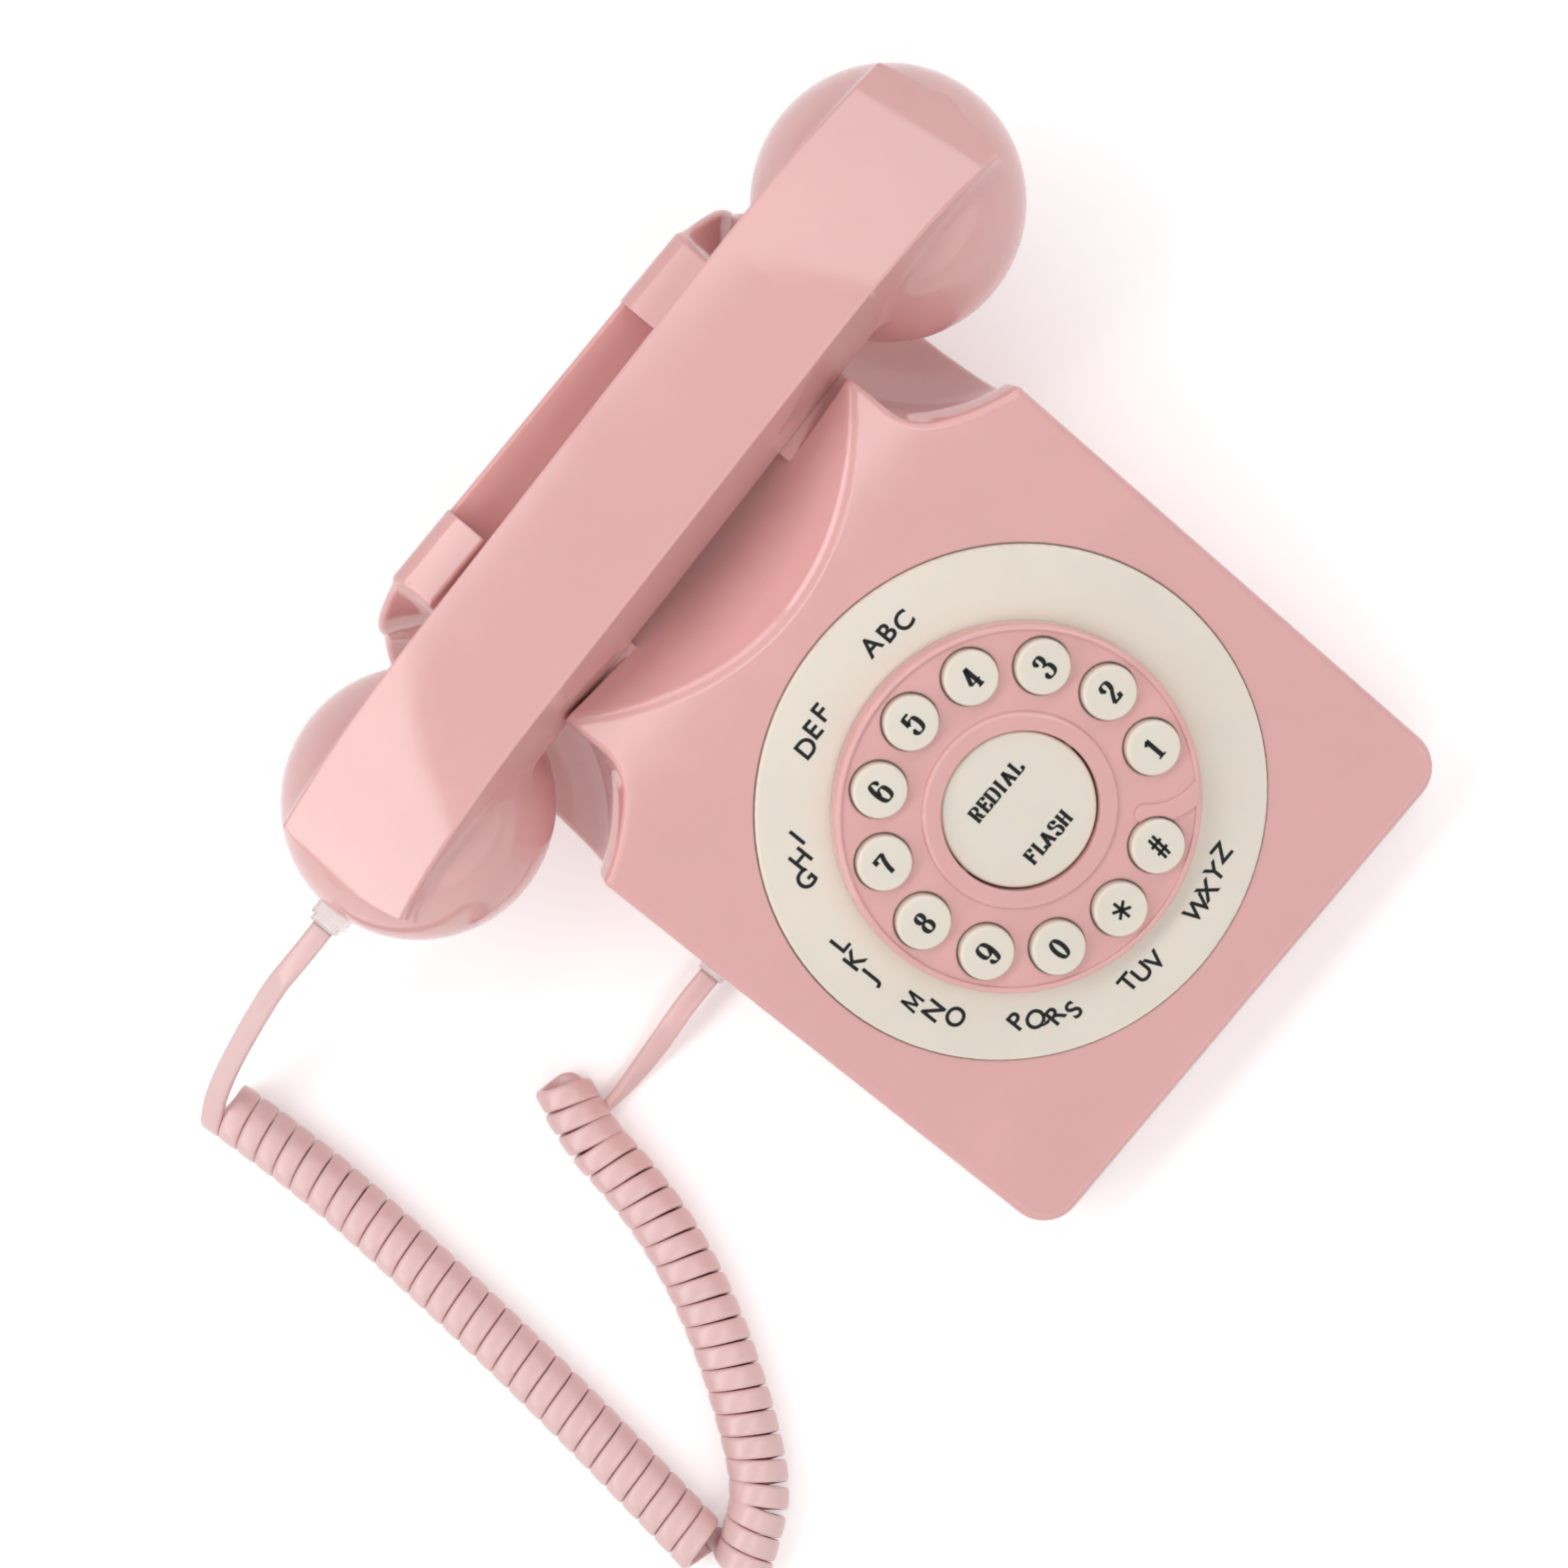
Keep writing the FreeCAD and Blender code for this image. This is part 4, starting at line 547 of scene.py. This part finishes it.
DIGIT_HEIGHT = 0.0052
WORD_HEIGHT = 0.0034
WORD_BOLDNESS = 1.25
ROCKER_WORDS = [("REDIAL", (-0.0002, 0.0067), 0.00258), ("FLASH", (-0.0008, -0.0087), 0.00270)]
SIGN_HEIGHT = 0.0064
LETTER_HEIGHT = 0.0041
LETTER_WEIGHT = 0.00012
LETTER_CIRCLE = 0.0473
STROKE_LETTERS = "M"
LETTER_GROUPS = [("ABC", 77, -5.2), ("DEF", 108.3, -4.8), ("GHI", 142.2, -5.6), ("JKL", 173.3, -5.9),
                 ("MNO", 199, 6.2), ("PQRS", 229.4, 5.2), ("TUV", 257.8, 4.6), ("WXYZ", 288, 5.3)]


def make_print():
    """Digits on the keys, two words on the rocker and letter groups on the ring."""
    for number, name in enumerate(KEYS):
        angle = math.radians(KEY_START + KEY_STEP * number)
        height = SIGN_HEIGHT if name in ("star", "hash") else DIGIT_HEIGHT
        middle = Vector((KEY_CIRCLE * math.cos(angle), KEY_CIRCLE * math.sin(angle), KEY_TOP + PRINT_LIFT))
        digit = Print()
        digit.glyph(name, middle - GLYPH_MIDDLE * height, height)
        digit.piece("digit_" + name, "key_" + name)

    words = Print(WORD_BOLDNESS)
    for word, (x, y), spacing in ROCKER_WORDS:
        words.word(word, Vector((x, y, ROCKER_TOP + PRINT_LIFT)), WORD_HEIGHT, spacing)
    words.piece("rocker_words", "rocker")

    letters = Print()
    for group, middle, step in LETTER_GROUPS:
        for index, letter in enumerate(group):
            angle = math.radians(middle + step * (index - (len(group) - 1) / 2))
            place = Vector((math.cos(angle), math.sin(angle), 0)) * LETTER_CIRCLE
            place += UP * (RING_TOP + PRINT_LIFT)
            if letter in STROKE_LETTERS:
                letters.word(letter, place, LETTER_HEIGHT, 0)
            else:
                letters.letter(letter, place, LETTER_HEIGHT)
    letters.piece("ring_letters", "base")


# Stage, light and camera

# The picture's pixels are those of the photograph, and straight down is given from the picture's middle.
CAMERA_PLACE = Vector((0, -0.0675, 0.800))
FOCAL_PIXELS = 3520
FRAME_PIXELS = 1569
DOWN_PIXELS = (131, -350)
TURN_COSINE = 0.6401
TURN_SINE = 0.7683
SENSOR_WIDTH = 36
NEAR_CLIP = 0.01


def make_camera():
    """The photograph's view: from nearly straight above, with the phone turned in the picture."""
    z_axis = -Vector((*DOWN_PIXELS, FOCAL_PIXELS)).normalized()
    y_axis = (Y_AXIS - z_axis * z_axis.y).normalized()
    x_axis = z_axis.cross(y_axis)
    along, upward, forward = Matrix((x_axis, y_axis, z_axis)).transposed()
    right = along * TURN_COSINE - upward * TURN_SINE
    top = along * TURN_SINE + upward * TURN_COSINE
    lens = bpy.data.cameras.new("photo_camera")
    lens.sensor_width = SENSOR_WIDTH
    lens.lens = SENSOR_WIDTH * FOCAL_PIXELS / FRAME_PIXELS
    lens.clip_start = NEAR_CLIP
    camera = bpy.data.objects.new("photo_camera", lens)
    bpy.context.scene.collection.objects.link(camera)
    turn = Matrix((right, top, -forward)).transposed().to_4x4()
    camera.matrix_world = Matrix.Translation(CAMERA_PLACE) @ turn
    bpy.context.scene.camera = camera


TABLE_HALF = 1.6
TABLE_GLOW = 0.25
WORLD_LIGHT = 0.24
WORLD_SEEN = 0.95
STRIP_DEPTH = 0.48
STRIP_TOP = Vector((0, 0.334, 1.3))
STRIP_LEFT = Vector((-3.2, 0.015, 0.35))
STRIP_RIGHT = Vector((3.2, -0.198, 0.35))
LEFT_RADIANCE = 3.5
RIGHT_RADIANCE = 1.95
FRONT_SIZE = (3.0, 1.1)
FRONT_PLACE = (0, -1.6, 0.75)
FRONT_TILT = 66
FRONT_RADIANCE = 0.6
OVER_SIZE = (2.4, 0.4)
OVER_PLACE = (0, -0.61, 1.37)
OVER_TILT = 24
OVER_RADIANCE = 2.6


def softbox(name, size, place, radiance):
    """A rectangular softbox that shines against its own Z axis."""
    light = bpy.data.lights.new(name, "AREA")
    light.shape = "RECTANGLE"
    light.size, light.size_y = size
    light.energy = radiance * math.pi * size[0] * size[1]
    holder = bpy.data.objects.new(name, light)
    bpy.context.scene.collection.objects.link(holder)
    holder.matrix_world = place


def tilted(place, degrees):
    """A place for a softbox that is tilted from straight down towards the rear."""
    return Matrix.Translation(place) @ Matrix.Rotation(math.radians(degrees), 4, "X")


def strip(name, left, right, radiance):
    """A softbox strip whose front edge runs from left to right, and which shines down."""
    along = (right - left).normalized()
    back = (Y_AXIS - along * along.y).normalized()
    place = Matrix((along, back, along.cross(back))).transposed().to_4x4()
    place.translation = (left + right) / 2 + back * STRIP_DEPTH / 2
    softbox(name, ((right - left).length, STRIP_DEPTH), place, radiance)


def seen_strength(tree, light, seen):
    """A strength with one value for lighting, and one where it is seen, mirrored or looked through."""
    path = tree.nodes.new("ShaderNodeLightPath")
    total = path.outputs["Is Camera Ray"]
    for ray in ("Is Glossy Ray", "Is Transmission Ray"):
        both = tree.nodes.new("ShaderNodeMath")
        both.operation = "MAXIMUM"
        tree.links.new(total, both.inputs[0])
        tree.links.new(path.outputs[ray], both.inputs[1])
        total = both.outputs["Value"]
    level = tree.nodes.new("ShaderNodeMapRange")
    level.inputs["To Min"].default_value = light
    level.inputs["To Max"].default_value = seen
    tree.links.new(total, level.inputs["Value"])
    return level.outputs["Result"]


def make_table():
    """A white table that keeps the phone's shadow and looks a little brighter than it is."""
    look = Look("table", tint(250, 249, 249), 0.7).clouds(3, 0.004).gloss(20, 0.03)
    look.set(Emission_Color=(1, 1, 1, 1))
    glow = seen_strength(look.tree, 0.0, TABLE_GLOW)
    look.tree.links.new(glow, look.shader.inputs["Emission Strength"])
    corners = [(-TABLE_HALF, -TABLE_HALF, 0), (TABLE_HALF, -TABLE_HALF, 0),
               (TABLE_HALF, TABLE_HALF, 0), (-TABLE_HALF, TABLE_HALF, 0)]
    new_mesh("table", corners, [(0, 1, 2, 3)], look.material)


def make_light():
    """White surroundings, two bright strips over the rear, a softbox overhead and a weak one in front."""
    world = bpy.data.worlds.new("studio")
    bpy.context.scene.world = world
    world.use_nodes = True
    sky = world.node_tree.nodes["Background"]
    sky.inputs["Color"].default_value = (1, 1, 1, 1)
    strength = seen_strength(world.node_tree, WORLD_LIGHT, WORLD_SEEN)
    world.node_tree.links.new(strength, sky.inputs["Strength"])
    strip("left_strip", STRIP_LEFT, STRIP_TOP, LEFT_RADIANCE)
    strip("right_strip", STRIP_TOP, STRIP_RIGHT, RIGHT_RADIANCE)
    softbox("front_softbox", FRONT_SIZE, tilted(FRONT_PLACE, FRONT_TILT), FRONT_RADIANCE)
    softbox("over_softbox", OVER_SIZE, tilted(OVER_PLACE, OVER_TILT), OVER_RADIANCE)


dress_solids()
make_cords()
make_print()
make_camera()
make_table()
make_light()
bpy.context.scene.view_settings.view_transform = "Standard"
